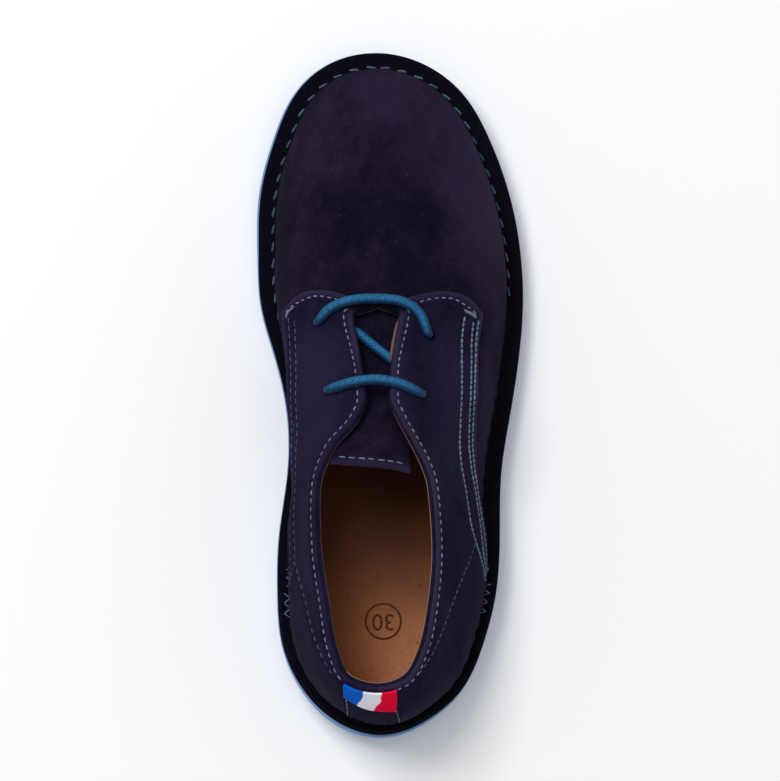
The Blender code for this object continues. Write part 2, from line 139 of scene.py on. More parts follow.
TONGUE = table(
    "y middle half height crown",
    (-28.6, -7.4, 12, 69.8, 2.4), (-23, -6.4, 11, 66.8, 4.6), (-16, -5.8, 12, 63.2, 6.4),
    (-8, -5.4, 14.5, 59.9, 6), (2, -4.8, 15, 55.6, 4.8), (12, -4.6, 15, 51.4, 4.6),
    (20, -4.5, 14, 50.2, 3.8), (28, -4.4, 12, 50, 2.8), (36, -4.2, 9, 47.8, 1.6),
)
# The lace's route: each eyelet, whether the lace comes down into it, and its places after it.
EYELETS = table(
    "side at v downward after",
    (INNER, 0.53, 0.825, False, [(-13, -3.2, 67.9), (-5.6, -2.4, 68.5), (1.4, -3.6, 68.2)]),
    (OUTER, 0.535, 0.87, True, [(2, 2, 58), (-5.5, 8.8, 55.8), (-12.6, 14.6, 52)]),
    (
        INNER, 0.445, 0.8, False,
        [(-19, 20.6, 56.3), (-13, 22.8, 57.5), (-5, 23.3, 57.8), (2.4, 22.4, 57.9),
         (7.6, 18.9, 57.6)],
    ),
    (OUTER, 0.46, 0.85, True, []),
)

# What only this file has.
LIPS = table(  # how far the sole stands proud of the flange
    "at inner outer",
    (0, 0.3, 0.3), (0.1, 0.5, 0.1), (0.2, 0.6, 0.1), (0.3, 0.5, 0.1), (0.38, 0.2, 0.1),
    (0.8, 0.2, 0.1), (0.87, 0.4, 0.2), (0.94, 0.8, 0.6), (1, 0.8, 0.8),
)
SEAMS = table(  # rows of stitches on the walls, through places (at, v) in thousandths
    "name side kind pitch places",
    (
        "panel_a", OUTER, "teal", 1.75,
        [(432, 675), (455, 667), (490, 652), (530, 648), (560, 642), (595, 630), (633, 600),
         (660, 565), (685, 505), (705, 430), (722, 335), (738, 225), (750, 105)],
    ),
    (
        "panel_b", OUTER, "teal", 1.75,
        [(438, 608), (455, 600), (490, 583), (530, 580), (560, 565), (595, 530), (630, 458),
         (655, 400), (680, 335), (708, 285), (730, 200), (745, 85)],
    ),
    (
        "panel_c", OUTER, "teal", 1.75,
        [(435, 572), (455, 565), (490, 550), (530, 548), (560, 528), (595, 488), (630, 415),
         (655, 350), (680, 270), (710, 185), (738, 67)],
    ),
    (
        "counter_outer", OUTER, "faint", 2.4,
        [(708, 440), (740, 575), (768, 680), (795, 755), (825, 817), (857, 872), (895, 925),
         (925, 955)],
    ),
    (
        "panel_d", INNER, "faint", 2.5,
        [(432, 565), (475, 540), (520, 530), (560, 495), (600, 460), (640, 420), (685, 385),
         (730, 310), (748, 120)],
    ),
    (
        "panel_e", INNER, "faint", 2.5,
        [(438, 625), (477, 602), (520, 590), (560, 565), (600, 555), (640, 540), (688, 520),
         (725, 470), (755, 200)],
    ),
    (
        "counter_inner", INNER, "faint", 3.2,
        [(728, 480), (778, 660), (825, 750), (857, 817), (895, 880), (925, 930)],
    ),
)
CREASES = table(  # soft troughs that wear leaves, and ridges where the depth is below 0
    "side at v at_end v_end width depth",
    (OUTER, 0.33, 0.98, 0.385, 0.42, 4.5, 0.35),
    (INNER, 0.325, 0.98, 0.375, 0.45, 4.5, 0.35),
    (OUTER, 0.3, 0.8, 0.35, 0.3, 5, -0.25),
    (INNER, 0.56, 0.8, 0.64, 0.3, 5, 0.45),
    (INNER, 0.6, 0.84, 0.68, 0.4, 6, -0.4),
    (OUTER, 0.575, 0.86, 0.625, 0.55, 4.5, 0.45),
    (OUTER, 0.61, 0.84, 0.66, 0.6, 5, -0.35),
    (OUTER, 0.85, 0.6, 0.93, 0.2, 6, 0.35),
    (INNER, 0.85, 0.6, 0.94, 0.25, 6, 0.35),
)
PATCHES = table(  # where the nap is brushed lighter or darker, and painted sheen lightens the toe and the sides
    "x y width length strength",
    (2, 88, 13, 9, 0.8), (-22, 76, 8, 14, 0.4), (20, 62, 8, 20, 0.6),
    (32, 50, 10, 22, 1.4), (28, 82, 9, 16, 1.1), (4, 74, 8, 12, 0.6),
    (18, 38, 8, 8, 0.5), (-34, 40, 9, 22, -0.3), (6, 48, 16, 24, -0.5),
    (-16, 40, 10, 16, -0.4), (14, 30, 10, 8, -0.3), (-25, -2, 7, 20, 0.9),
    (19, -12, 8, 20, 1.1),
)
# The stitches of each row: pitch, length and radius, and the seed of their small differences.
TONGUE_STITCH = (2.95, 2.1, 0.24, 4)
STRAP_STITCH, STRAP_FOOT_STITCH = (2.6, 1.9, 0.17, 7), (2.6, 1.9, 0.17, 9)
EDGE_STITCH = (2.45, 1.4, 0.24, 11)
TACK_STITCH = (5.0, 1.3, 0.2, 5)
SOLE_STITCH = (5.4, 3.3, 0.33, 21)
ZIGZAG_SEED = 17
BAR_TACKS = {OUTER: ((0.424, 0.668), (0.43, 0.6)), INNER: ((0.424, 0.6), (0.431, 0.545))}
ZIGZAGS = table(  # the short rows on the flange that end the panel rows
    "side start end v half pitch",
    (OUTER, 0.749, 0.79, -0.4, 0.24, 1.3),
    (INNER, 0.73, 0.752, -0.34, 0.17, 1.25),
    (INNER, 0.76, 0.792, -0.5, 0.17, 1.45),
)
# Patches over the back seam, by corners (along the edge, v): the outer side's foot and top, then
# the inner side's. A v past 1 wraps inward over the rim.
STRAP = tuple((end, v) for end in (-STRAP_REACH[OUTER], STRAP_REACH[INNER]) for v in (0.46, 0.999))
RIBBON = ((-0.018, 0.77), (-0.032, 1.004), (0.057, 0.855), (0.056, 1.006))
STRAP_SEAMS = (-0.0185, 0.0545)  # the rows down the strap's sides
WRAP = 40.0  # how far a whole v past 1 reaches inward
LAST_AT, LAST_V = 0.9995, 0.999  # just short of the back seam and the rim

EDGE_ROW = 2.5  # from the tabs' edges to the row sewn round them
RIM_ROW, FACING_ROW = 2, 0.7  # the same row below the collar's rim, and more at the facing's
SOLE_ROW = 4.5  # from the flange's edge to the row that holds it to the sole
SCALLOP = 6.0  # pitch of the scallops where the rear wall meets its flange
SCALLOP_DEPTH = {OUTER: 1.05, INNER: 0.45}
RIDGE_END = 0.41  # where the vamp's ridge ends and the throat opens
RIM_ROLL = (-0.45, -0.8, -1.08)  # where the suede ends over the rim, and the lining starts
RAW_RIM = 0.462  # the middle of the outer facing's stretch with a pale raw rim
THROAT_SHADE = 0.418  # the corner where facing and vamp meet, painted dark as shade
TONGUE_ROW = -26.2  # y of the row across the tongue's end
EDGE_ROUND = 0.8  # radius of a cut edge's corner
BAND_PROFILE = ((0, 0), (0.3, 0), (0.36, 0.22), (0.42, 0), (0.9, 0), (1, 0.25))  # up, and cut in
STAMP = (-2, -71)
STAMP_HEIGHT = 0.06
STAMP_RINGS = (5.05, 5.7)


# --- numbers
def smooth(u):
    """From 0 to 1 with level ends, as u goes from 0 to 1."""
    u = np.clip(u, 0, 1)
    return u * u * (3 - 2 * u)


def bell(x, width, power=2):
    """1 at x = 0, and near 0 beyond the width. A higher power flattens its top."""
    return np.exp(-((x / width) ** power))


def between(first, last, share):
    return first * (1 - share) + last * share


def unit(vectors):
    return vectors / np.linalg.norm(vectors, axis=-1, keepdims=True)


def straight_up(count):
    return np.tile([0.0, 0.0, 1.0], (count, 1))


def at_runs(s, run, line):
    """The line's values at distances s, given the distance of each of its own points."""
    return np.stack([np.interp(s, run, line[:, k]) for k in range(line.shape[1])], -1)


def paired(at, v):
    return np.broadcast_arrays(np.asarray(at, float), np.asarray(v, float))


def cubic(u):
    """A cubic's weights at u: of its two end points, then of its slopes there."""
    return (1 + 2 * u) * (1 - u) ** 2, u * u * (3 - 2 * u), u * (1 - u) ** 2, -u * u * (1 - u)


def through(rows, name, x, level_ends=True):
    """A smooth curve through one column of a table, with no overshoot between its rows."""
    rows = sorted(rows)
    xs = np.array([row[0] for row in rows], float)
    ys = np.array([getattr(row, name) for row in rows], float)
    steps = np.diff(xs)
    secants = np.diff(ys) / steps
    before, after = secants[:-1], secants[1:]
    mean = (before * steps[1:] + after * steps[:-1]) / (steps[1:] + steps[:-1])
    limit = 3 * np.minimum(abs(before), abs(after))
    inside = np.where(before * after > 0, np.sign(mean) * np.minimum(abs(mean), limit), 0)
    first, last = (0, 0) if level_ends else (secants[0], secants[-1])
    slopes = np.concatenate([[first], inside, [last]])
    k = np.clip(np.searchsorted(xs, x, side="right") - 1, 0, len(xs) - 2)
    start, end, out, back = cubic(np.clip((x - xs[k]) / steps[k], 0, 1))
    return start * ys[k] + end * ys[k + 1] + steps[k] * (out * slopes[k] + back * slopes[k + 1])


def spans(starts, ends, slopes, end_slopes, count):
    """Points along the cubics from each start to its end, without the ends."""
    start, end, out, back = cubic(np.linspace(0, 1, count, endpoint=False)[:, None])
    points = start * starts[:, None] + end * ends[:, None]
    points = points + out * slopes[:, None] + back * end_slopes[:, None]
    return points.reshape(-1, starts.shape[1])


def closed_spline(points, per_span):
    """Points along the smoothest closed curve through the given ones."""
    points = np.array(points, float)
    after = np.roll(points, -1, axis=0)
    chord = np.linalg.norm(after - points, axis=1)
    before_chord = np.roll(chord, 1)
    index = np.arange(len(points))
    matrix = np.diag(2 * (chord + before_chord))
    matrix[index, index - 1] += chord
    matrix[index, (index + 1) % len(points)] += before_chord
    pull = (points - np.roll(points, 1, axis=0)) * (chord / before_chord)[:, None]
    pull += (after - points) * (before_chord / chord)[:, None]
    slope = np.linalg.solve(matrix, 3 * pull)
    chord = chord[:, None]
    return spans(points, after, chord * slope, chord * np.roll(slope, -1, axis=0), per_span)


def open_spline(points, per_span=24):
    """Points along a smooth curve through the given ones."""
    points = np.array(points, float)
    slopes = np.gradient(points, axis=0)
    line = spans(points[:-1], points[1:], slopes[:-1], slopes[1:], per_span)
    return np.concatenate([line, points[-1:]])


def run_lengths(points, axis=0):
    """Distances along lines of points, from each line's start."""
    points = np.moveaxis(points, axis, 0)
    steps = np.linalg.norm(np.diff(points, axis=0), axis=-1)
    run = np.concatenate([np.zeros((1, *steps.shape[1:])), np.cumsum(steps, axis=0)])
    return np.moveaxis(run, 0, axis)


def resampled(line, step):
    """The same line with evenly spaced points."""
    run = run_lengths(line)
    return at_runs(np.linspace(0, run[-1], int(run[-1] / step) + 1), run, line)


def distances(points, line):
    """How far each point of a grid is from a line of points."""
    tree = KDTree(len(line))
    for index, point in enumerate(line):
        tree.insert(point, index)
    tree.balance()
    flat = points.reshape(-1, 3)
    return np.array([tree.find(point)[2] for point in flat]).reshape(points.shape[:-1])


# --- the upper's face
def edge_sides(per_span=40):
    """For each side, the flange's edge from toe tip to heel tip: the share of its length so far,
    the points, the inward normals and the length."""
    outer = [(row.outer, row.y) for row in EDGE]
    inner = [(row.inner, row.y) for row in reversed(EDGE)]
    loop = closed_spline([TOE_TIP, *outer, HEEL_TIP, *inner], per_span)
    heading = unit(np.roll(loop, -1, axis=0) - np.roll(loop, 1, axis=0))
    normals = np.stack([heading[:, 1], -heading[:, 0]], axis=1)
    heel = (len(EDGE) + 1) * per_span
    sides = {}
    for side, order in (
        (OUTER, np.arange(heel + 1)),
        (INNER, np.arange(len(loop), heel - 1, -1) % len(loop)),
    ):
        run = run_lengths(loop[order])
        sides[side] = run / run[-1], loop[order], normals[order], run[-1]
    return sides


SIDES = edge_sides()
EDGE_LENGTH = SIDES[OUTER][3]


def along_edge(at, side, inset):
    """The x and y of places along one side's edge, moved in by the inset."""
    share, points, normals, _ = SIDES[side]
    return at_runs(at, share, points) + at_runs(at, share, normals) * np.asarray(inset)[..., None]


def round_the_shoe(steps, value):
    """value(ats, side) for places all round, down the outer side and back up the inner one."""
    share = np.linspace(0, 1, steps + 1)
    return np.concatenate([value(share[:-1], OUTER), value(share[:0:-1], INNER)])


def sole_level(y, name):
    return through(LEVELS, name, y, level_ends=False)


def on_flange(xy, lift=0.0):
    """Points on the flange's face over an array of x and y."""
    return np.column_stack([xy, sole_level(xy[:, 1], "top") + GAP + WALL + lift])


def upper_face(at, side, v):
    """Points of the upper's outer face. `at` and v are arrays of one shape."""
    at, v = paired(at, v)
    shape, at, v = at.shape, at.ravel(), v.ravel()
    crease, edge = along_edge(at, side, FLANGE), along_edge(at, side, 0.0)
    flat = crease + (edge - crease) * np.clip(-v, 0, 1)[:, None]
    start = on_flange(crease)
    half = through(SECTIONS, "half", at, level_ends=False)
    middle, y, height, rises, reaches, lean, fall = (
        through(SECTIONS, name, at)
        for name in (
            "middle", "y", "height", "rise", "reach", "lean_" + COLUMN[side],
            "fall_" + COLUMN[side],
        )
    )
    lean, fall = np.radians(lean), np.radians(fall)
    end = np.column_stack([middle + side * half, y, height])
    run = end[:, :2] - start[:, :2]
    reach = np.linalg.norm(run, axis=1)
    ahead = run / reach[:, None]
    rise = end[:, 2] - start[:, 2]
    up, back = rise * rises, np.hypot(reach, rise) * reaches
    first = start + np.column_stack([-ahead * (up * np.sin(lean))[:, None], up * np.cos(lean)])
    last = end - np.column_stack([ahead * (back * np.cos(fall))[:, None], back * np.sin(fall)])
    w = np.clip(v, 0, 1)[:, None]
    wall = start * (1 - w) ** 3 + first * 3 * w * (1 - w) ** 2
    wall = wall + last * 3 * w * w * (1 - w) + end * w**3
    return np.where(v[:, None] < 0, on_flange(flat), wall).reshape(*shape, 3)


def outward(at, side, v, small=1e-3):
    """Unit normals of the upper's outer face."""
    at, v = paired(at, v)
    low, high = np.clip(at - small, 0, 1), np.clip(at + small, 0, 1)
    along = upper_face(high, side, v) - upper_face(low, side, v)
    inside = np.clip(v, small, 1 - small)
    across = upper_face(at, side, inside + small) - upper_face(at, side, inside - small)
    return unit(np.cross(across, along) * side)


def raised(at, side, v, lift):
    """The upper's outer face moved out by `lift`: up on the flange, both ways at the crease."""
    at, v = paired(at, v)
    normal = outward(at, side, v)
    flat = np.broadcast_to([0.0, 0.0, 1.0], normal.shape)
    corner = (normal + flat) / (1 + (normal * flat).sum(axis=-1, keepdims=True))
    share = v[..., None]
    move = np.where(share < 0, flat, np.where(share == 0, corner, normal))
    return upper_face(at, side, v) + move * np.broadcast_to(lift, at.shape)[..., None]


RIM_ATS, RIM_LEVELS = np.linspace(0.36, 1, 321), np.linspace(1, 0, 101)
RIM_RUNS = {
    side: run_lengths(upper_face(RIM_ATS[:, None], side, RIM_LEVELS), axis=1) for side in BOTH
}


def cell(place, count):
    """The cell of a row of `count` points that a place is in, and the share of it passed."""
    place = np.clip(place, 0, count - 1.001)
    whole = place.astype(int)
    return whole, place - whole


def to_rim(at, side, v):
    """How far down the wall from its rim each place is."""
    at, v = paired(at, v)
    runs = RIM_RUNS[side]
    row, i = cell((at - RIM_ATS[0]) / (RIM_ATS[1] - RIM_ATS[0]), len(RIM_ATS))
    column, j = cell((1 - v) * (len(RIM_LEVELS) - 1), len(RIM_LEVELS))
    near, far = (between(runs[r, column], runs[r, column + 1], j) for r in (row, row + 1))
    return between(near, far, i)


def below_rim(at, side, distance):
    """v at places that far down the wall from its rim."""
    levels = np.linspace(1, 0.5, 60)
    distance = np.broadcast_to(distance, np.shape(at))
    return np.array([np.interp(d, to_rim(a, side, levels), levels) for a, d in zip(at, distance)])


def pressed(rim_distance):
    """How far the layers are pressed together towards the collar and facing, 0 to 1."""
    return 1 - smooth(rim_distance / 5.0)


def quarter_lift(at, side, v):
    """How far the quarters' face stands off the upper's."""
    return STANDING - PRESSED * pressed(to_rim(at, side, v))


def on_quarter(places, side):
    """A line on the quarter's face through places (at, v), with its normals."""
    at, v = np.transpose(places)
    return raised(at, side, v, quarter_lift(at, side, v)), outward(at, side, v)


def lobe_at(at):
    return np.abs(np.sin(math.pi * at * EDGE_LENGTH / SCALLOP)) ** 0.6


def scallops(at, side, v, to_crease):
    """Lobes up the foot of the rear wall, where the sole's stitches pull it in between them."""
    amount = SCALLOP_DEPTH[side] * smooth((at - 0.47) / 0.06) + 0.15
    return amount * (lobe_at(at) - 0.55) * bell(to_crease, 8.5) * (v >= 0)


def creased(points, side):
    """The relief of the soft troughs and ridges."""
    relief = np.zeros(points.shape[:-1])
    share = np.linspace(0, 1, 40)
    for crease in CREASES:
        if crease.side == side:
            at = crease.at + (crease.at_end - crease.at) * share
            v = crease.v + (crease.v_end - crease.v) * share
            away = distances(points, upper_face(at, side, v))
            relief -= crease.depth * bell(away, crease.width)
    return relief


def stitched(points, lines, depth=0.32, width=1.0):
    """The trough that each row of stitches pulls into the leather, with its raised lips."""
    away = distances(points, np.concatenate(lines))
    return -depth * bell(away, width) + 0.35 * depth * bell(away - 2.2, 1.3)


def rolled(to_edge, radius):
    """How far a cut edge's corner is rounded off, for a face that far from the edge."""
    inside = np.clip(radius - to_edge, 0, radius)
    return radius - np.sqrt(radius**2 - inside**2)


# Tone of the brushed nap, with painted sheen, from the patches.
def nap_and_sheen_tone(points):
    tone = np.zeros(points.shape[:-1])
    for patch in PATCHES:
        away = ((points[..., 0] - patch.x) / patch.width) ** 2
        away += ((points[..., 1] - patch.y) / patch.length) ** 2
        tone += patch.strength * np.exp(-away)
    return tone


# --- meshes
def new_mesh(name, points, faces, tones=None, indices=None, sharp=50):
    """A smooth mesh, with values for each point and the number of each face's look."""
    mesh = bpy.data.meshes.new(name)
    mesh.from_pydata(np.asarray(points) * MM, [], faces)
    for key, values in (tones or {}).items():
        layer = mesh.attributes.new(key, "FLOAT", "POINT")
        layer.data.foreach_set("value", np.asarray(values, np.float32).ravel())
    if indices is not None:
        mesh.polygons.foreach_set("material_index", np.asarray(indices, np.int32))
    mesh.shade_smooth()
    mesh.set_sharp_from_angle(angle=math.radians(sharp))
    mesh.update()
    return mesh


def placed(name, data):
    made = bpy.data.objects.new(name, data)
    bpy.context.scene.collection.objects.link(made)
    return made


def add_piece(mesh, looks, replaces=()):
    piece = placed(mesh.name, mesh)
    for look in looks:
        mesh.materials.append(look)
    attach(piece, "root")
    if replaces:
        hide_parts(*replaces)
    return piece


def net(index):
    """The faces between the neighbours of a grid of point numbers."""
    corners = (index[:-1, :-1], index[:-1, 1:], index[1:, 1:], index[1:, :-1])
    return np.stack(corners, -1).reshape(-1, 4)


def sheet_piece(name, outer, inner, looks, replaces=(), tones=None, borders=(), wrap=False):
    """A sheet between two grids, closed round its edges, as one piece. `borders` gives the look
    of each edge: of the first and last columns, and of the first and last rows."""
    size = outer[..., 0].size
    index = np.arange(size).reshape(outer.shape[:2])
    rings = [index[:, 0][::-1], index[:, -1], index[0], index[-1][::-1]]
    if wrap:
        rings = [np.append(ring, ring[0]) for ring in rings[:2]]
        index = np.vstack([index, index[:1]])
    face = net(index)
    parts = [face, face[:, ::-1] + size]
    for ring in rings:
        here, there = ring[:-1], ring[1:]
        parts.append(np.stack([there, here, here + size, there + size], -1))
    points = np.concatenate([outer.reshape(-1, 3), inner.reshape(-1, 3)])
    faces = np.concatenate(parts)
    a, b, c, d = (points[faces[:, k]] for k in range(4))
    if (a * np.cross(b, c)).sum() + (a * np.cross(c, d)).sum() < 0:  # the closed form's volume
        faces = faces[:, ::-1]
    which = [np.broadcast_to(look, len(part)) for part, look in zip(parts, (0, 1, *borders))]
    which += [np.ones(len(part), int) for part in parts[len(which) :]]
    doubled = {key: np.tile(np.ravel(values), 2) for key, values in (tones or {}).items()}
    mesh = new_mesh(name, points, faces.tolist(), doubled, np.concatenate(which))
    return add_piece(mesh, looks, replaces)


def surface_of(piece):
    """The piece's surface in millimetres, to lay lines on."""
    points = [vertex.co / MM for vertex in piece.data.vertices]
    return BVHTree.FromPolygons(points, [list(face.vertices) for face in piece.data.polygons])


def laid(line, normals, surface, reach=5.0):
    """A line's points moved along their normals on to a surface."""
    moved = line.copy()
    for k, (point, normal) in enumerate(zip(line, normals)):
        hit = surface.ray_cast(Vector(point + normal * reach), Vector(-normal), 2 * reach)[0]
        if hit:
            moved[k] = hit
    return moved


def round_line(line, up, across, radius, angle):
    """Rings of points round a line. `radius` has one row for each ring."""
    up, across = up[:, None], across[:, None]
    turned = up * (radius * np.cos(angle))[..., None] + across * (radius * np.sin(angle))[..., None]
    return line[:, None] + turned


def tube(line, normals, radii, sides, turn=0.0, depth=0.0):
    """Rings of points round a line. They may stand out in two twisting lobes, as a thread's."""
    tangent = unit(np.gradient(line, axis=0))
    across = unit(np.cross(tangent, normals))
    angle = np.linspace(0, TAU, sides, endpoint=False)
    share = np.linspace(0, 1, len(line))[:, None]
    radius = np.asarray(radii)[:, None] * (1 + depth * np.cos(2 * (angle + turn * share)))
    return round_line(line, np.cross(across, tangent), across, radius, angle)


def tube_faces(rings, sides, first=0):
    index = first + np.arange(rings * sides).reshape(rings, sides)
    walls = net(np.column_stack([index, index[:, 0]]).T)
    return [*walls.tolist(), index[0].tolist(), index[-1][::-1].tolist()]


def thread_row(
    line, normals, pitch, length, radius, seed, start=0.0, dip=0.35, slant=0.0, sides=6, rings=9
):
    """The stitches of one row: short threads that dive into the leather at both ends."""
    pick = random.Random(seed)
    run = run_lengths(line)
    t = np.linspace(-1, 1, rings)
    stitches = []
    place = start
    while place + length < run[-1]:
        s = np.linspace(place, place + length * pick.uniform(0.92, 1.05), rings)
        middle, normal = at_runs(s, run, line), unit(at_runs(s, run, normals))
        across = unit(np.cross(np.gradient(middle, axis=0), normal))
        middle = middle + normal * (radius * 0.5 - dip * t**4)[:, None]
        middle = middle + across * (t * slant * length * 0.5 + pick.uniform(-0.06, 0.06))[:, None]
        radii = radius * (1 - 0.45 * t**6) * pick.uniform(0.94, 1.06)
        stitches.append(tube(middle, normal, radii, sides, turn=2.2, depth=0.1))
        place += pitch * pick.uniform(0.97, 1.03)
    return stitches


def thread_piece(name, stitches, look):
    """All the stitches of a row as one piece, each with its own shade."""
    points, faces, shade = [], [], []
    pick = random.Random(len(stitches))
    for rings in stitches:
        count, sides = rings.shape[:2]
        faces += tube_faces(count, sides, sum(map(len, points)))
        points.append(rings.reshape(-1, 3))
        shade.append(np.full(count * sides, pick.random()))
    tones = {"shade": np.concatenate(shade)}
    add_piece(new_mesh(name, np.concatenate(points), faces, tones, sharp=80), [look])


# --- materials
class Nodes:
    """A short way to write a material's node tree."""

    def __init__(self, name):
        self.material = bpy.data.materials.new(name)
        self.material.use_nodes = True
        self.tree = self.material.node_tree
        self.shader = self.tree.nodes["Principled BSDF"]
        self.place = self.add("TexCoord").outputs["Object"]

    def add(self, kind, inputs=(), **settings):
        """A node, with some of its inputs set or linked by name or number."""
        made = self.tree.nodes.new("ShaderNode" + kind)
        for key, value in settings.items():
            setattr(made, key, value)
        for key, value in dict(inputs).items():
            self.put(made.inputs[key], value)
        return made

    def put(self, socket, value):
        if isinstance(value, bpy.types.NodeSocket):
            self.tree.links.new(value, socket)
        elif isinstance(value, tuple) and len(value) == 3 and len(socket.default_value) == 4:
            socket.default_value = (*value, 1)
        else:
            socket.default_value = value

    def done(self, **values):
        """Sets or links the shader's inputs, and gives the material."""
        for key, value in values.items():
            self.put(self.shader.inputs[key.replace("_", " ")], value)
        return self.material

    def noise(self, scale, detail=3.0, rough=0.6, distortion=0.0, stretch=None):
        place = self.place
        if stretch:
            place = self.add("Mapping", {"Vector": place, "Scale": Vector(stretch)}).outputs[0]
        inputs = {"Vector": place, "Scale": scale, "Detail": detail, "Roughness": rough}
        return self.add("TexNoise", {**inputs, "Distortion": distortion}).outputs["Fac"]

    def cells(self, scale):
        made = self.add("TexVoronoi", {"Vector": self.place, "Scale": scale})
        return made.outputs["Distance"]

    def axes(self):
        return self.add("SeparateXYZ", {0: self.place}).outputs

    def value(self, operation, *values):
        return self.add("Math", enumerate(values), operation=operation).outputs[0]

    def times(self, first, second):
        return self.value("MULTIPLY", first, second)

    def plus(self, first, second):
        return self.value("ADD", first, second)

    def spread(self, value, low, high, to_low=0.0, to_high=1.0):
        """The value's place between low and high, as one between two others."""
        given = enumerate((value, low, high, to_low, to_high))
        return self.add("MapRange", given, interpolation_type="SMOOTHSTEP").outputs["Result"]

    def mix(self, share, first, second):
        inputs = {0: share, 6: first, 7: second}  # the node's own numbers for colours
        return self.add("Mix", inputs, data_type="RGBA").outputs[2]

    def attribute(self, name):
        return self.add("Attribute", attribute_name=name).outputs["Fac"]

    def bump(self, height, distance, strength, under=None):
        inputs = {"Height": height, "Distance": distance * MM, "Strength": strength}
        if under:
            inputs["Normal"] = under
        return self.add("Bump", inputs).outputs["Normal"]


def suede(name, dark, light):
    """Napped leather: brushed patches with painted sheen, fibres, pale flecks, painted highlights,
    a darker turned-out flange, and painted shade.
    """
    wear_and_highlight, fleck, tint = (0.038, 0.03, 0.06), (0.09, 0.08, 0.14), (0.42, 0.3, 0.62)
    flange_dark, flange_light = (0.003, 0.0026, 0.0056), (0.0056, 0.0052, 0.01)
    n = Nodes(name)
    brushed = n.noise(70, 5, 0.62, 0.3, stretch=(1.0, 0.5, 1.0))
    cloudy = n.noise(260, 4)
    fibre = n.noise(2300, 3, 0.7, stretch=(1.0, 0.55, 1.0))
    nap_and_highlight = n.attribute("tone")
    tone = n.plus(n.plus(n.times(brushed, 0.6), n.times(cloudy, 0.2)), n.times(nap_and_highlight, 0.2))
    colour = n.mix(n.spread(tone, 0.24, 0.64), dark, light)
    deep, pale = n.mix(0.36, colour, (0.0, 0.0, 0.0)), n.mix(0.16, colour, light)
    colour = n.mix(n.spread(fibre, 0.25, 0.75), deep, pale)
    # Painted highlight: where the tone runs highest, on the quarters' edges, the tongue's end and
    # the lightest sheen patches, the colour turns paler.
    colour = n.mix(n.spread(nap_and_highlight, 0.9, 1.9, 0.0, 0.6), colour, wear_and_highlight)
    colour = n.mix(n.spread(n.noise(620, 2, 0.5), 0.7, 0.78, 0.0, 0.16), colour, fleck)
    flange = n.mix(n.spread(fibre, 0.4, 0.8), flange_dark, flange_light)
    # The dark attribute turns the turned-out flange near black, and paints shade in the throat's
    # corner and between the scallops.
    return n.done(
        Base_Color=n.mix(n.attribute("dark"), colour, flange),
        Roughness=n.spread(fibre, 0.2, 0.8, 0.86, 0.98),
        Normal=n.bump(fibre, 0.16, 0.75, n.bump(cloudy, 0.5, 0.25)),
        Specular_IOR_Level=0.02, Sheen_Weight=0.015, Sheen_Roughness=0.6, Sheen_Tint=tint,
    )


def plain_leather(name, dark, light, roughness=0.6, grain=1100):
    n = Nodes(name)
    cloudy = n.noise(120, 4)
    return n.done(
        Base_Color=n.mix(n.spread(cloudy, 0.3, 0.7), dark, light),
        Roughness=n.spread(cloudy, 0.3, 0.7, roughness - 0.08, roughness + 0.08),
        Normal=n.bump(n.cells(grain), 0.06, 0.5), Specular_IOR_Level=0.3,
    )


def thread(name, dark, light, shine=0.25):
    n = Nodes(name)
    ply = n.noise(2600, 2)
    shade = n.plus(n.times(ply, 0.5), n.times(n.attribute("shade"), 0.5))
    return n.done(
        Base_Color=n.mix(shade, dark, light), Roughness=0.75, Normal=n.bump(ply, 0.08, 0.5),
        Specular_IOR_Level=shine,
    )


def braid():
    """The lace's yarns, with painted highlights on their crowns, painted shade between them, and
    painted shade down its flanks and into the eyelets.
    """
    # deep is the colour of the painted shade in the valleys and on the flanks; body is the yarns'
    # own colour.
    deep, body = (0.0003, 0.008, 0.036), (0.004, 0.14, 0.34)
    hair, crown = (0.02, 0.25, 0.48), (0.1, 0.33, 0.56)
    n = Nodes("teal_braid")
    yarn = n.attribute("yarn")
    fibre = n.noise(3200, 2)
    # Painted shade: dark in the valleys between the yarns.
    colour = n.mix(n.spread(yarn, 0.25, 0.95), deep, body)
    colour = n.mix(n.spread(fibre, 0.35, 0.8, 0.0, 0.3), colour, hair)
    # Painted highlight: the yarns' crowns on the side towards the light turn paler.
    crown_highlight = n.times(n.spread(yarn, 0.75, 1.0, 0.0, 0.34), n.attribute("lit"))
    colour = n.mix(crown_highlight, colour, crown)
    # Painted shade: the flanks away from the light and the ends at the eyelets are darkened towards
    # the deep colour.
    return n.done(
        Base_Color=n.mix(n.times(n.attribute("flank"), 0.78), colour, deep), Roughness=0.66,
        Normal=n.bump(fibre, 0.05, 0.4), Specular_IOR_Level=0.25,
    )


def rubber():
    """Matt rubber with a fine grain, faintly scuffed, and dusty towards the ground."""
    body, paler = (0.124, 0.262, 0.555), (0.14, 0.288, 0.6)
    pits, scuffed, dust = (0.07, 0.15, 0.34), (0.3, 0.42, 0.62), (0.075, 0.115, 0.19)
    n = Nodes("blue_rubber")
    fine = n.noise(1500, 3)
    scuffs = n.noise(240, 4, 0.7, 0.4, stretch=(0.35, 0.35, 1.6))
    colour = n.mix(n.spread(n.noise(55, 4), 0.3, 0.7), body, paler)
    colour = n.mix(n.spread(fine, 0.3, 0.7, 0.1, 0.0), colour, pits)
    colour = n.mix(n.spread(scuffs, 0.58, 0.74, 0.0, 0.16), colour, scuffed)
    near_ground = n.times(n.spread(n.axes()["Z"], 0.0, 0.0045, 0.5, 0.0), scuffs)
    return n.done(
        Base_Color=n.mix(near_ground, colour, dust), Normal=n.bump(fine, 0.05, 0.5),
        Roughness=n.spread(fine, 0.3, 0.7, 0.54, 0.68),
    )


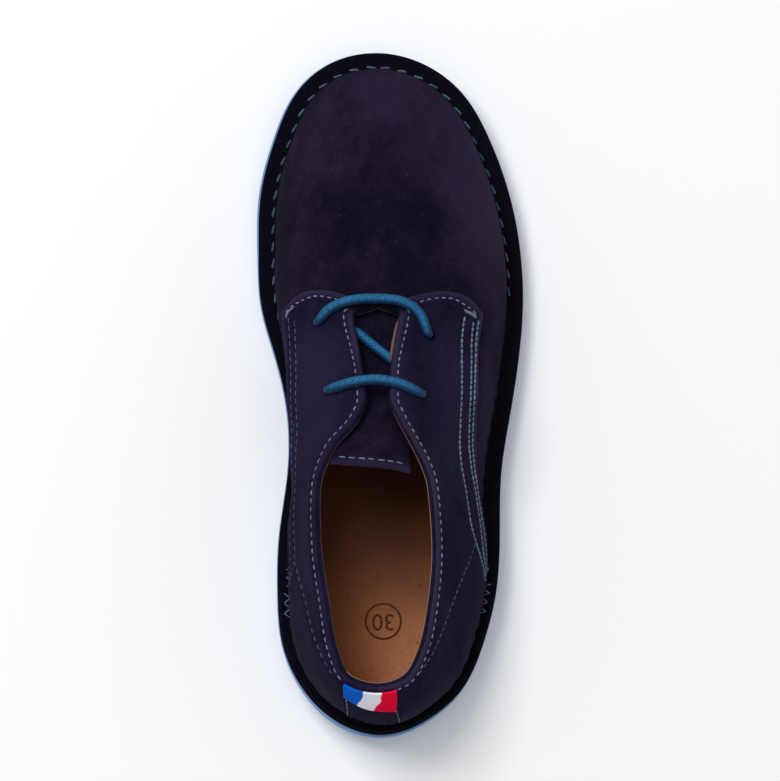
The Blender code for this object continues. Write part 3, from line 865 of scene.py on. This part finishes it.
def insole_leather():
    """Smooth tan leather with fine grain and pores, and painted shade: darker towards the toe and
    the inner side, where the upper shades it.
    """
    heel_shaded, heel_lit = (0.42, 0.138, 0.052), (0.57, 0.235, 0.108)
    front_shade_middle, front_shade_sides = (0.054, 0.013, 0.003), (0.094, 0.023, 0.006)
    n = Nodes("tan_insole")
    axes = n.axes()
    along = n.plus(axes["Y"], n.times(n.noise(60, 5), 0.012))
    from_middle = n.value("ABSOLUTE", n.plus(axes["X"], 0.001))
    grain = n.noise(1400, 4, 0.7, stretch=(1.0, 0.5, 1.0))
    # Painted shade: the heel's part is darker on the inner side, and the front, shaded by the
    # upper's walls and tongue, is far darker, most of all down its middle.
    heel = n.mix(n.spread(axes["X"], -0.01, 0.014), heel_shaded, heel_lit)
    front = n.mix(n.spread(from_middle, 0.003, 0.014), front_shade_middle, front_shade_sides)
    colour = n.mix(n.spread(along, -0.086, -0.038), heel, front)
    colour = n.mix(n.spread(grain, 0.3, 0.75, 0.28, 0.0), colour, (0.06, 0.022, 0.01))
    pores = n.spread(n.cells(150), 0.05, 0.09, 0.55, 0.0)
    return n.done(
        Base_Color=n.mix(pores, colour, (0.05, 0.018, 0.008)),
        Roughness=n.spread(grain, 0.3, 0.7, 0.6, 0.74), Normal=n.bump(grain, 0.08, 0.5),
        Specular_IOR_Level=0.12,
    )


def woven_ribbon():
    """Three bands of colour across the ribbon, with wavy edges, in a fine weave."""
    blue, white, red = (0.002, 0.118, 0.6), (0.88, 0.87, 0.95), (0.84, 0.001, 0.036)
    n = Nodes("woven_ribbon")
    across, down = n.attribute("across"), n.attribute("down")
    wave = n.times(n.value("SUBTRACT", n.noise(170, 2, 0.5), 0.5), 0.16)
    slant = n.times(n.value("SUBTRACT", down, 0.5), 0.13)
    place = n.plus(n.plus(across, wave), slant)
    colour = n.mix(n.spread(place, 0.315, 0.345), blue, white)
    colour = n.mix(n.spread(place, 0.635, 0.665), colour, red)
    weft, warp = (n.value("SINE", n.times(run, k)) for run, k in ((down, 150.0), (across, 210.0)))
    weave = n.times(weft, warp)
    colour = n.mix(n.spread(weave, -1.0, 1.0, 0.2, 0.0), colour, (0.02, 0.02, 0.05))
    return n.done(
        Base_Color=colour, Roughness=0.85, Normal=n.bump(weave, 0.1, 0.6), Specular_IOR_Level=0.02
    )


def stamp_ink():
    n = Nodes("stamp_ink")
    wear_and_highlight = n.spread(n.noise(900, 3, 0.7), 0.35, 0.7, 0.0, 0.35)
    colour = n.mix(wear_and_highlight, (0.05, 0.015, 0.008), (0.2, 0.07, 0.03))
    return n.done(Base_Color=colour, Roughness=0.8, Specular_IOR_Level=0.05)


vamp_suede = suede("vamp_suede_nap", (0.0042, 0.0032, 0.009), (0.0235, 0.0155, 0.0445))
quarter_suede = suede("quarter_suede_nap", (0.0068, 0.005, 0.018), (0.0205, 0.0145, 0.046))
lining = plain_leather("tan_lining", (0.185, 0.1, 0.072), (0.245, 0.138, 0.102))
cut_edge = plain_leather("cut_edge", (0.016, 0.012, 0.024), (0.048, 0.036, 0.054), 0.85, 1800)
pale_thread = thread("pale_thread", (0.068, 0.089, 0.155), (0.215, 0.25, 0.355))
teal_thread = thread("teal_thread", (0.046, 0.084, 0.15), (0.18, 0.235, 0.34))
sole_thread = thread("sole_thread", (0.012, 0.032, 0.064), (0.092, 0.14, 0.225))
faint_thread = thread("faint_thread", (0.04, 0.038, 0.075), (0.122, 0.114, 0.185))
dark_thread = thread("dark_thread", (0.002, 0.002, 0.005), (0.006, 0.0065, 0.012), 0.06)


# --- the upper
def dense(places, count):
    """Evenly spaced places along a line of places (at, v)."""
    run = run_lengths(places * [EDGE_LENGTH, 50.0])
    return at_runs(np.linspace(0, run[-1], count), run, places)


def tab_front(up):
    """The round front end of a quarter, at shares of its height."""
    return TAB_FRONT + TAB_ROUND * (1 - np.sqrt(1 - (2 * up - 1) ** 2))


def edge_row(side):
    """The places of the row round the quarter: round its front tab, then along its rim."""
    up = np.linspace(0.02, 0.93, 60)
    front = tab_front(up) + EDGE_ROW / EDGE_LENGTH
    hem = through(HEMS, COLUMN[side], front)
    tab = np.column_stack([front, hem + 0.05 + up * (QUARTER_TOP - hem - 0.1)])
    at = np.linspace(tab[-1, 0] + 0.004, 1.001 - STRAP_REACH[side], 160)
    from_rim = RIM_ROW + FACING_ROW * smooth((0.5 - at) / 0.05)
    rim = np.column_stack([at, below_rim(at, side, from_rim)])
    return dense(np.concatenate([tab, rim]), 500)


EDGE_ROWS = {side: edge_row(side) for side in BOTH}
SEAM_ROWS = {
    seam.name: dense(open_spline(np.divide(seam.places, 1000)), 240) for seam in SEAMS
}


def raw_rim(at, side):
    """Whether the rim shows its tan edge there: behind the tongue, and on the outer facing."""
    return at > 0.93 or side == OUTER and (0.437 < at < 0.485 or at > 0.555)


def soften(rows, times):
    """Evens out rows of points in place, apart from the first and the last."""
    for _ in range(times):
        rows[1:-1] = 0.25 * rows[:-2] + 0.5 * rows[1:-1] + 0.25 * rows[2:]


def make_upper(steps=250):
    low = [np.linspace(-1, -0.12, 7), [0.0], np.linspace(0.02, 0.975, 50)]
    levels = np.concatenate([*low, [0.985, 0.992, 0.997, 1.0]])
    wide = np.concatenate([levels, np.ones(len(RIM_ROLL))])
    foot = np.searchsorted(levels, 0.0)

    def strip(at, side):
        """One side's outer and inner points, and how dark each is: the turned-out flange, and
        painted shade in the throat's corner.
        """
        at = at[:, None]
        base = upper_face(at, side, levels)
        run = run_lengths(base, axis=1)
        from_rim = np.where(at > RIDGE_END, run[:, -1:] - run, 50.0)
        relief = scallops(at, side, levels, run - run[:, foot : foot + 1]) + creased(base, side)
        relief *= (levels > 0) * smooth(from_rim / 3.0)
        relief -= rolled(run, 0.5) * (levels < 0)
        opened = smooth((at - RIDGE_END) / 0.012)
        bare = 1 - 0.65 * (side == OUTER) * bell(at - RAW_RIM, 0.022, 4)
        lift = np.hstack([relief - rolled(from_rim, 0.3), opened * bare * RIM_ROLL])
        depth = np.hstack([np.minimum(relief, 0), np.zeros((len(at), len(RIM_ROLL)))])
        inner = raised(at, side, wide, depth - WALL)
        if side == OUTER:
            inner[:, -8:, 0] -= 0.55 * bell(at - RAW_RIM, 0.024, 4)
        # Painted shade: the throat's corner, where facing and vamp meet, is painted dark.
        throat_shade = bell(at - THROAT_SHADE, 0.014) * smooth((wide - 0.9) / 0.08)
        dark = np.maximum(1 - smooth((wide + 0.1) / 0.14), throat_shade)
        return np.dstack([raised(at, side, wide, lift), inner, dark])

    grid = round_the_shoe(steps, strip)
    outer, inner, dark = grid[..., :3], grid[..., 3:6], grid[..., 6]
    soften(outer[:, foot - 2 : foot + 5].swapaxes(0, 1), 2)
    turn = round_the_shoe(steps, lambda at, side: np.column_stack([at, np.full(len(at), side)]))
    raw = [1 if raw_rim(at, side) else 2 for at, side in turn]
    upper = sheet_piece(
        "suede_upper", outer, inner, [vamp_suede, lining, cut_edge], ["upper"],
        {"tone": nap_and_sheen_tone(outer), "dark": dark}, (2, raw), wrap=True,
    )
    close_ridge(upper.data, outer.shape, turn[:, 0] <= RIDGE_END)
    return upper


def close_ridge(mesh, shape, closed):
    """Joins the two sides along the vamp's ridge, inside and out."""
    rows, columns = shape[:2]
    rim = {k * columns + columns - 1 for k in range(rows) if closed[k]}
    form = bmesh.new()
    form.from_mesh(mesh)
    border = [face for face in form.faces if sum(v.index in rim for v in face.verts) == 2]
    strip = [face for face in border if any(v.index >= rows * columns for v in face.verts)]
    bmesh.ops.delete(form, geom=strip, context="FACES")
    bmesh.ops.remove_doubles(form, verts=form.verts, dist=0.02 * MM)
    form.to_mesh(mesh)
    form.free()


def make_quarter(side):
    even = np.linspace(0, 1, 73)
    up = 0.3 * (1 - np.cos(math.pi * even)) + 0.4 * even
    front = tab_front(up)
    at = front + (np.linspace(0, 1, 201) ** 1.15)[:, None] * (LAST_AT - front)
    hem = through(HEMS, COLUMN[side], at)
    hem = np.where(hem > 0.035, hem, 0)
    v = hem + up * (1.0 - hem)
    turned = hem[:, :1] == 0
    base = upper_face(at, side, v)
    outline = [resampled(line, 0.15) for line in (base[0], base[~turned[:, 0], 0])]
    to_edge = distances(base, np.concatenate(outline))
    down = to_rim(at, side, v)
    to_crease = run_lengths(base, axis=1)
    lift = quarter_lift(at, side, v)
    rows = [EDGE_ROWS[side], *(SEAM_ROWS[seam.name] for seam in SEAMS if seam.side == side)]
    relief = stitched(raised(at, side, v, lift), [on_quarter(row, side)[0] for row in rows])
    relief += creased(base, side) * smooth(down / 4.0)
    relief += scallops(at, side, v, to_crease) * turned
    relief -= np.maximum(rolled(to_edge, EDGE_ROUND), rolled(down, 1.0))
    outer = raised(at, side, v, lift + relief)
    inner = raised(at, side, v, OVERLAY_GAP - 0.3 * pressed(down))
    # Painted shade: dark in the valleys between the scallops, and in the throat's corner at the top
    # of the tab's front.
    valley_shade = bell(to_crease, 1.4) * (1 - lobe_at(at)) * turned
    border = np.minimum(to_edge, down)
    corner = bell(border, 2.0, 4) * bell(at - 0.416, 0.014, 4) * smooth((v - 0.9) / 0.05)
    # Painted highlight along the cut edges and the rim, weaker on the inner side towards the heel.
    wear_and_highlight = 1.55 - 0.95 * (side == INNER) * smooth((at - 0.47) / 0.05)
    tone = nap_and_sheen_tone(outer) + bell(border, 2.2, 4) * (v > 0.02) * wear_and_highlight
    raw = [2 if a < 0.5 and raw_rim(a, side) else 1 for a in at[:-1, -1]]
    return sheet_piece(
        "suede_quarter_" + LABEL[side], outer, inner, [quarter_suede, quarter_suede, lining],
        ["quarter_" + LABEL[side]],
        {"tone": tone, "dark": np.maximum(valley_shade, corner)}, (1, raw, 1, 1),
    )


def make_turned_edge(side):
    """The part of the quarter that is turned out and sewn to the sole."""
    at = np.linspace(TURN, 1.0, 180)[:, None]
    v = np.concatenate([np.linspace(TURNED_OUT, -0.1, 9), [0.0, 0.04]])
    from_edge = run_lengths(upper_face(at, side, v), axis=1)
    ripple = 0.16 * np.sin(at * EDGE_LENGTH / SCALLOP * TAU) * bell(from_edge - 2.0, 1.5)
    tuck = 0.9 * smooth((v + 0.12) / 0.12)
    begun = 0.25 + 0.75 * smooth((at - TURN) / 0.016)
    full = (STANDING - rolled(from_edge, EDGE_ROUND) + ripple - tuck) * begun
    outer = raised(at, side, v, full)
    inner = raised(at, side, v, np.minimum(OVERLAY_GAP * begun, full - 0.05))
    sheet_piece(
        "turned_edge_" + LABEL[side], outer, inner, [quarter_suede, quarter_suede, cut_edge],
        (), {"tone": full * 0, "dark": np.ones(full.shape)}, (0, 0, 0, 0),
    )


def in_fixed_order(cut):
    """The same mesh with its points and faces sorted, since a cut adds its own in any order."""
    points = np.array([tuple(vertex.co) for vertex in cut.vertices]) / MM
    order = np.lexsort(np.round(points, 3).T)
    rank = np.argsort(order).tolist()
    faces = []
    for polygon in cut.polygons:
        corners = [rank[k] for k in polygon.vertices]
        first = corners.index(min(corners))
        faces.append((corners[first:] + corners[:first], polygon.material_index))
    corners, indices = zip(*sorted(faces))
    tones = {}
    for key in ("tone", "dark"):
        tones[key] = np.array([point.value for point in cut.attributes[key].data])[order]
    mesh = new_mesh(cut.name, points[order], corners, tones, indices)
    for look in cut.materials:
        mesh.materials.append(look)
    return mesh


def cut_holes(pieces):
    """Cuts the lace's holes through the pieces of each side."""
    for eyelet in EYELETS:
        face, normal = at_eyelet(eyelet)
        bpy.ops.mesh.primitive_cylinder_add(
            vertices=32, radius=HOLE_RADIUS * MM, depth=9 * MM, location=Vector(face) * MM,
            rotation=Vector(normal).to_track_quat("Z", "Y").to_euler(),
        )
        cutter = bpy.context.object
        for piece in (pieces["upper"], pieces[eyelet.side]):
            hole = piece.modifiers.new("Hole", "BOOLEAN")
            hole.operation, hole.solver, hole.object = "DIFFERENCE", "FAST", cutter
            bpy.context.view_layer.objects.active = piece
            bpy.ops.object.modifier_apply(modifier=hole.name)
        bpy.data.objects.remove(cutter)
    for piece in pieces.values():
        piece.data = in_fixed_order(piece.data)


# --- the sole and the insole
def make_sole():
    def ring(proud, level, lift):
        """Points round the sole, so far outside the flange's edge, or at the lip where None."""

        def strip(at, side):
            out = through(LIPS, COLUMN[side], at) if proud is None else proud
            height = sole_level(along_edge(at, side, 0.0)[:, 1], level) + lift
            return np.column_stack([along_edge(at, side, -out), height])

        return round_the_shoe(260, strip)

    rings = []
    for angle in np.linspace(0, math.pi / 2, 6):
        inset = SOLE_INSET + SOLE_ROUND * (1 - math.sin(angle))
        rings.append(ring(-inset, "ground", SOLE_ROUND * (1 - math.cos(angle))))
    low, high = rings[-1], ring(-SOLE_INSET, "top", -SOLE_BAND)
    rings += [low + (high - low) * share for share in np.linspace(0, 1, 9)[1:]]
    band, top = ring(None, "top", 0.4 - SOLE_BAND), ring(None, "top", 0.0)
    for share, inward in BAND_PROFILE:
        line = band + (top - band) * share
        rings.append(line - unit((top - line.mean(axis=0)) * [1, 1, 0]) * inward)
    grid = np.array(rings).transpose(1, 0, 2)
    index = np.arange(grid[..., 0].size).reshape(grid.shape[:2])
    points = grid.reshape(-1, 3)
    faces = net(np.vstack([index, index[:1]])).tolist()
    half = len(grid) // 2
    for cap, steps, finish in ((index[:, 0], 25, treaded), (index[:, -1], 3, np.array)):
        right, left = cap[1:half], cap[:half:-1]
        share = np.linspace(0, 1, steps + 1)[1:-1, None]
        inside = finish(between(points[right][:, None], points[left][:, None], share))
        middle = len(points) + np.arange(inside[..., 0].size).reshape(len(right), -1)
        rows = np.column_stack([right, middle, left])
        ends = [[cap[0], *rows[0]], [cap[half], *rows[-1][::-1]]]
        faces += net(rows).tolist() + [[int(k) for k in end] for end in ends]
        points = np.concatenate([points, inside.reshape(-1, 3)])
    mesh = new_mesh("rubber_sole", points, faces, sharp=35)
    add_piece(mesh, [rubber()], ["outsole"])


def treaded(points, pitch=5.2, depth=0.8):
    """Points of the tread, raised into shallow wavy grooves across it."""
    x, y = points[..., 0], points[..., 1]
    wave = y + 1.6 * np.sin(x / 4.2)
    groove = smooth((np.cos(wave * TAU / pitch) - 0.35) / 0.4)
    edge = np.abs(np.minimum(x - x[:, :1], x[:, -1:] - x))
    sunk = points.copy()
    sunk[..., 2] += depth * groove * smooth((edge - 1.0) / 2.0)
    return sunk


def on_insole(x, y, lift=0.0):
    return np.stack([x, y, sole_level(y, "top") + GAP + INSOLE + lift], -1)


def make_insole():
    at = np.linspace(0.004, 0.996, 160)
    inset = FLANGE + WALL + 0.25
    left, right = along_edge(at, INNER, inset), along_edge(at, OUTER, inset)
    across = np.linspace(0, 1, 33)
    x, y = np.moveaxis(between(left[:, None], right[:, None], across[:, None]), -1, 0)
    width = np.linalg.norm(right - left, axis=1)[:, None]
    to_side = np.minimum(across, 1 - across) * width  # the sides of the insole turn up a little
    cup = 0.9 * (1 - smooth(to_side / 8.0)) * smooth((20 - y) / 40) - rolled(to_side, 0.5)
    top, under = on_insole(x, y, cup), on_insole(x, y, 0.1 - INSOLE)
    sheet_piece("leather_insole", top, under, [insole_leather()] * 2, ["insole"])


def make_size_mark(sides=96):
    """The size in a ring, stamped on the insole."""
    bpy.ops.object.text_add()
    words = bpy.context.object
    words.data.body = "30"
    words.data.size = 7.2
    words.data.align_x = words.data.align_y = "CENTER"
    words.data.offset = 0.04
    bpy.ops.object.convert(target="MESH")
    flat = [-np.array([tuple(vertex.co)[:2] for vertex in words.data.vertices])]
    faces = [list(polygon.vertices) for polygon in words.data.polygons]
    bpy.data.objects.remove(words)
    angle = np.linspace(0, TAU, sides, endpoint=False)
    ring = len(flat[0]) + np.arange(2 * sides).reshape(2, sides)
    faces += net(np.column_stack([ring, ring[:, 0]]).T).tolist()
    flat += [radius * np.stack([np.cos(angle), np.sin(angle)], -1) for radius in STAMP_RINGS]
    x, y = (np.concatenate(flat) + STAMP).T
    mesh = new_mesh("size_mark", on_insole(x, y, STAMP_HEIGHT), faces)
    add_piece(mesh, [stamp_ink()])


# --- the tongue and the back
def tongue_point(y, across):
    middle, half, height, crown = (
        through(TONGUE, name, y, level_ends=False) for name in ("middle", "half", "height", "crown")
    )
    skew = smooth((-18.0 - y) / 10.0)
    y = y - skew * (1.1 * across + 0.5 * smooth((across - 0.5) / 0.5))
    curl = 0.4 * smooth((across - 0.55) / 0.45) * smooth((-24.0 - y) / 5.0)
    z = height - crown * across**2 + curl
    return np.stack(np.broadcast_arrays(middle + half * across, y, z), -1)


def make_tongue():
    y, across = np.linspace(TONGUE[0].y, TONGUE[-1].y, 110)[:, None], np.linspace(-1, 1, 49)
    base = tongue_point(y, across)
    to_end, from_side = run_lengths(base, axis=0), run_lengths(base, axis=1)
    to_edge = np.minimum.reduce([to_end, from_side, from_side[:, -1:] - from_side])
    row = tongue_point(TONGUE_ROW, np.linspace(-0.95, 0.95, 80))
    wave = 0.35 * np.sin(across * 5.0 + 0.6) * smooth((-12 - y) / 14)
    outer, inner = base.copy(), base.copy()
    outer[..., 2] += stitched(base, [row], 0.25, 0.8) - rolled(to_edge, 0.7) + wave
    inner[..., 2] += wave - 1.5
    # The tongue's rolled end gets a painted highlight through its tone.
    tongue = sheet_piece(
        "suede_tongue", outer, inner, [vamp_suede, vamp_suede, cut_edge],
        ["tongue"], {"tone": bell(to_end, 3.0, 4) * 1.2 - 0.1, "dark": to_end * 0}, (2, 2, 2, 2),
    )
    line, up = tongue_point(TONGUE_ROW, np.linspace(-0.88, 0.9, 120)), straight_up(120)
    line = laid(line, up, surface_of(tongue))
    stitches = thread_row(line, up, *TONGUE_STITCH, start=0.4)
    thread_piece("tongue_stitches", stitches, pale_thread)


def back_patch(corners, lift, steps, rise):
    """Points and normals of a patch over the back seam, stood off the upper by its lift."""
    foot, top, inner_foot, inner_top = np.array(corners)
    across, up = np.linspace(0, 1, steps)[:, None, None], np.linspace(0, 1, rise)[None, :, None]
    places = between(between(foot, top, up), between(inner_foot, inner_top, up), across)
    points, normals = np.empty((2, steps, rise, 3))
    for side in BOTH:
        here = (places[..., 0] > 0) == (side == INNER)
        along, full = places[here].T
        at, v = np.minimum(1 - abs(along), LAST_AT), np.minimum(full, LAST_V)
        stand = quarter_lift(at, side, v) + lift - WRAP * (full - v)
        points[here], normals[here] = raised(at, side, v, stand), outward(at, side, v)
    return points, normals


def make_back():
    outer, away = back_patch(STRAP, 1.0, 33, 41)
    inner = back_patch(STRAP, 0.12, 33, 41)[0]
    runs = [run_lengths(outer, axis=0), run_lengths(outer, axis=1)]
    runs += [runs[0][-1:] - runs[0], runs[1][:, -1:] - runs[1]]
    outer = outer - away * rolled(np.minimum.reduce(runs), 0.6)[..., None]
    strap = sheet_piece(
        "suede_back_strap", outer, inner, [quarter_suede, quarter_suede, cut_edge],
        ["back_strap"], {"tone": runs[0] * 0 - 0.2, "dark": runs[0] * 0},
        (2, 0, 2, 2),
    )
    outer, away = back_patch(RIBBON, 1.62, 49, 33)
    inner = back_patch(RIBBON, 1.1, 49, 33)[0]
    across, down = np.meshgrid(np.linspace(1, 0, 49), np.linspace(1, 0, 33), indexing="ij")
    outer = outer + away * (0.12 * np.sin(across * 9 + 1.0) * np.sin(down * 5))[..., None]
    sheet_piece(
        "tricolour_ribbon", outer, inner, [woven_ribbon()] * 2, ["heel_ribbon"],
        {"across": across, "down": down},
    )
    surface = surface_of(strap)
    sides = [[(seam, 0.5), (seam, 0.99)] * 2 for seam in STRAP_SEAMS]
    foot = [(seam, v) for seam in STRAP_SEAMS for v in (0.5, 0.51)]
    lines = [[grid[0] for grid in back_patch(side, 1.0, 1, 60)] for side in sides]
    lines.append([grid[:, 0] for grid in back_patch(foot, 1.0, 60, 2)])
    rows = [
        thread_row(laid(line, normals, surface), normals, *sizes)
        for (line, normals), sizes in zip(lines, (STRAP_STITCH, STRAP_STITCH, STRAP_FOOT_STITCH))
    ]
    thread_piece("strap_stitches", rows[0] + rows[1], pale_thread)
    thread_piece("strap_foot_stitches", rows[2], dark_thread)


# --- rows of stitches
# For each kind of panel row, its stitches' length and radius, and their thread.
STITCHES = {"teal": (1.45, 0.31, teal_thread), "faint": (1.8, 0.16, faint_thread)}
SOLE_PARTS = {  # how far in from the flange's edge and over its face, and the thread
    "front": (SOLE_ROW, -0.1, sole_thread),
    "waist": (SOLE_ROW, -0.1, dark_thread),
    "rear": (SOLE_ROW - 0.2, STANDING - 0.25, dark_thread),
}
SOLE_ENDS = {OUTER: (0.0, 0.405, 0.72, 1.0), INNER: (0.0, 0.46, 0.72, 1.0)}  # of those parts


def make_seams(side, quarter):
    """The rows on one quarter, and a short dense ladder of stitches where its panel rows start."""
    surface = surface_of(quarter)

    def sewn(places, *sizes, start=0.0):
        line, normals = on_quarter(places, side)
        return thread_row(laid(line, normals, surface), normals, *sizes, start=start)

    stitches = sewn(EDGE_ROWS[side], *EDGE_STITCH, start=1.0)
    thread_piece("edge_stitches_" + LABEL[side], stitches, pale_thread)
    for seam in SEAMS:
        if seam.side == side:
            length, radius, look = STITCHES[seam.kind]
            stitches = sewn(SEAM_ROWS[seam.name], seam.pitch, length, radius, 3 + side)
            thread_piece(seam.name + "_stitches", stitches, look)
    tack = []
    for at, v in between(*np.array(BAR_TACKS[side]), np.linspace(0, 1, 9)[:, None]):
        rung = np.column_stack([at + np.linspace(-0.003, 0.003, 20), np.full(20, v)])
        tack += sewn(rung, *TACK_STITCH)
    thread_piece("bar_tack_" + LABEL[side], tack, pale_thread)


def make_zigzags(rings=9):
    """The zigzags that end the panel rows on the flange, worn thin in places."""
    pick = random.Random(ZIGZAG_SEED)
    share = np.linspace(0.03, 0.97, rings)[:, None]
    stitches = []
    for row in ZIGZAGS:
        count = int((row.end - row.start) * EDGE_LENGTH / row.pitch) + 1
        v = row.v + row.half * np.where(np.arange(count) % 2, 1, -1) + pick.uniform(-0.01, 0.01)
        corners = upper_face(np.linspace(row.start, row.end, count), row.side, v)
        corners[:, 2] += STANDING + 0.04
        for start, end in zip(corners[:-1], corners[1:]):
            line = between(start, end, share)
            line[:, 2] += 0.13 - 0.34 * (2 * share[:, 0] - 1) ** 4
            up = np.tile([0.05, 0.02, 1.0], (rings, 1))
            stitches.append(tube(line, up, np.full(rings, pick.uniform(0.11, 0.19)), 6))
    thread_piece("flange_zigzags", stitches, teal_thread)


def make_sole_row():
    """The thick row that holds the flange to the sole, dark beside and behind the quarters."""
    for side, ends in SOLE_ENDS.items():
        for part, start, end in zip(SOLE_PARTS, ends, ends[1:]):
            inset, lift, look = SOLE_PARTS[part]
            line = on_flange(along_edge(np.linspace(start, end, 600), side, inset), lift)
            stitches = thread_row(
                line, straight_up(len(line)), *SOLE_STITCH, start=0.6, dip=0.55,
                slant=-0.16 * side, sides=10, rings=17,
            )
            thread_piece(f"sole_stitches_{LABEL[side]}_{part}", stitches, look)


# --- the lace
def at_eyelet(eyelet):
    place = (eyelet.at, eyelet.side, eyelet.v)
    return upper_face(*place), outward(*place)


def eyelet_line(eyelet):
    """The lace's places over the eyelet's inner edge, at its top, at its foot and under it."""
    face, normal = at_eyelet(eyelet)
    inward = unit(upper_face(eyelet.at, eyelet.side, eyelet.v + 0.04) - face)
    over = face + normal * (STANDING + LACE_OVER) + inward * 1.3
    return [over, *(face + normal * level for level in (STANDING, -WALL, -WALL - LACE_UNDER))]


def carried_normals(tangent):
    """Normals along a line that turn as little as they can."""
    normal = np.cross(tangent[0], [0.3, 0.5, 0.8])
    normals = []
    for t in tangent:
        normal = unit(normal - t * (normal @ t))
        normals.append(normal)
    return np.array(normals)


def make_lace(sides=48, yarns=10, lay=0.92):
    """A round braid: yarns of two hands that pass over and under each other."""
    route = []
    for eyelet in EYELETS:
        route += [*eyelet_line(eyelet)[:: 1 if eyelet.downward else -1], *eyelet.after]
    line = resampled(open_spline(route), 0.26)
    soften(line, 10)
    tangent = unit(np.gradient(line, axis=0))
    normals = carried_normals(tangent)
    across = np.cross(tangent, normals)
    angle = np.linspace(0, TAU, sides, endpoint=False)[None, :]
    turn, run = angle * yarns / TAU, run_lengths(line)[:, None] / lay
    hands = (turn + run, turn - run)
    first, second = (1 - (2 * (hand % 1) - 1) ** 2 for hand in hands)
    yarn = np.where((np.floor(hands[0]) + np.floor(hands[1])) % 2 == 0, first, second)
    holes = np.array([eyelet_line(eyelet)[1] for eyelet in EYELETS])
    to_hole = np.linalg.norm(line[:, None] - holes, axis=2).min(axis=1)[:, None]
    radius = (LACE_WIDTH / 2 - 0.24 + 0.28 * yarn) * (1 - 0.3 * bell(to_hole, 2.6))
    rings = round_line(line, normals, across, radius, angle)
    facing = round_line(line * 0, normals, across, 1.0 + radius * 0, angle)
    # Painted shade: darker down the flank turned away from the light, and where the lace goes into
    # the eyelets.
    flank = smooth((1.02 - facing @ [-0.12, 0.33, 0.936]) / 0.5) + 0.5 * bell(to_hole, 3.0)
    # Painted highlight mask: where the lace's face turns towards the light.
    lit = smooth((facing @ [-0.32, 0.62, 0.7] - 0.7) / 0.28)
    tones = {"yarn": yarn, "flank": np.minimum(flank, 1), "lit": lit}
    faces = tube_faces(len(line), sides)
    mesh = new_mesh("braided_lace", rings.reshape(-1, 3), faces, tones, sharp=120)
    add_piece(mesh, [braid()], ["lace"])


# --- floor, light and camera
LAMPS = {  # place and size in metres, and power
    "key": ((-0.5, 0.4, 1.6), 0.6, 15.8),
    "overhead": ((0.0, 0.0, 1.8), 1.4, 6.7),
}
SKY = 0.405
CAMERA, TARGET = (-0.047, -0.163, 1.406), (0.0, 0.0, 0.02)
SENSOR, VIEW_FAR, VIEW_WIDE = 36.0, 1.395, 0.24  # the view is that wide, that far away


def make_stage():
    mesh = bpy.data.meshes.new("floor")
    mesh.from_pydata([(-3, -3, 0), (3, -3, 0), (3, 3, 0), (-3, 3, 0)], [], [(0, 1, 2, 3)])
    pale = Nodes("pale_floor").done(
        Base_Color=(0.93, 0.93, 0.93), Roughness=0.9, Specular_IOR_Level=0.0
    )
    mesh.materials.append(pale)
    floor = placed("floor", mesh)
    floor.location.z = -0.0002
    floor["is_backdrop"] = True
    world = bpy.data.worlds.new("studio")
    world.use_nodes = True
    background = world.node_tree.nodes["Background"].inputs
    background["Color"].default_value, background["Strength"].default_value = (1, 1, 1, 1), SKY
    bpy.context.scene.world = world
    for name, (place, size, power) in LAMPS.items():
        lamp = bpy.data.lights.new(name, "AREA")
        lamp.size, lamp.energy = size, power
        holder = placed(name, lamp)
        holder.location = place
        holder.rotation_mode = "QUATERNION"
        holder.rotation_quaternion = (-Vector(place)).to_track_quat("-Z", "Y")


def make_camera():
    """Nearly straight above, from behind the heel and a little to the inner side."""
    place, target = Vector(CAMERA), Vector(TARGET)
    data = bpy.data.cameras.new("camera")
    camera = placed("camera", data)
    back = (place - target).normalized()
    right = Vector((0, 1, 0)).cross(back).normalized()
    turn = Matrix((right, back.cross(right), back)).transposed()
    camera.matrix_world = Matrix.Translation(place) @ turn.to_4x4()
    data.sensor_width = SENSOR
    data.lens = SENSOR * VIEW_FAR / VIEW_WIDE
    data.clip_end = 20
    bpy.context.scene.camera = camera


pieces = {"upper": make_upper(), OUTER: make_quarter(OUTER), INNER: make_quarter(INNER)}
cut_holes(pieces)
for side in BOTH:
    make_turned_edge(side)
make_sole()
make_insole()
make_size_mark()
make_tongue()
make_back()
for side in BOTH:
    make_seams(side, pieces[side])
make_zigzags()
make_sole_row()
make_lace()
make_stage()
make_camera()
bpy.context.scene.view_settings.view_transform = "Standard"

boxes = {"cad": CAD_BOX, "scene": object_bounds()}
{key: [list(corner) for corner in box] for key, box in boxes.items()}
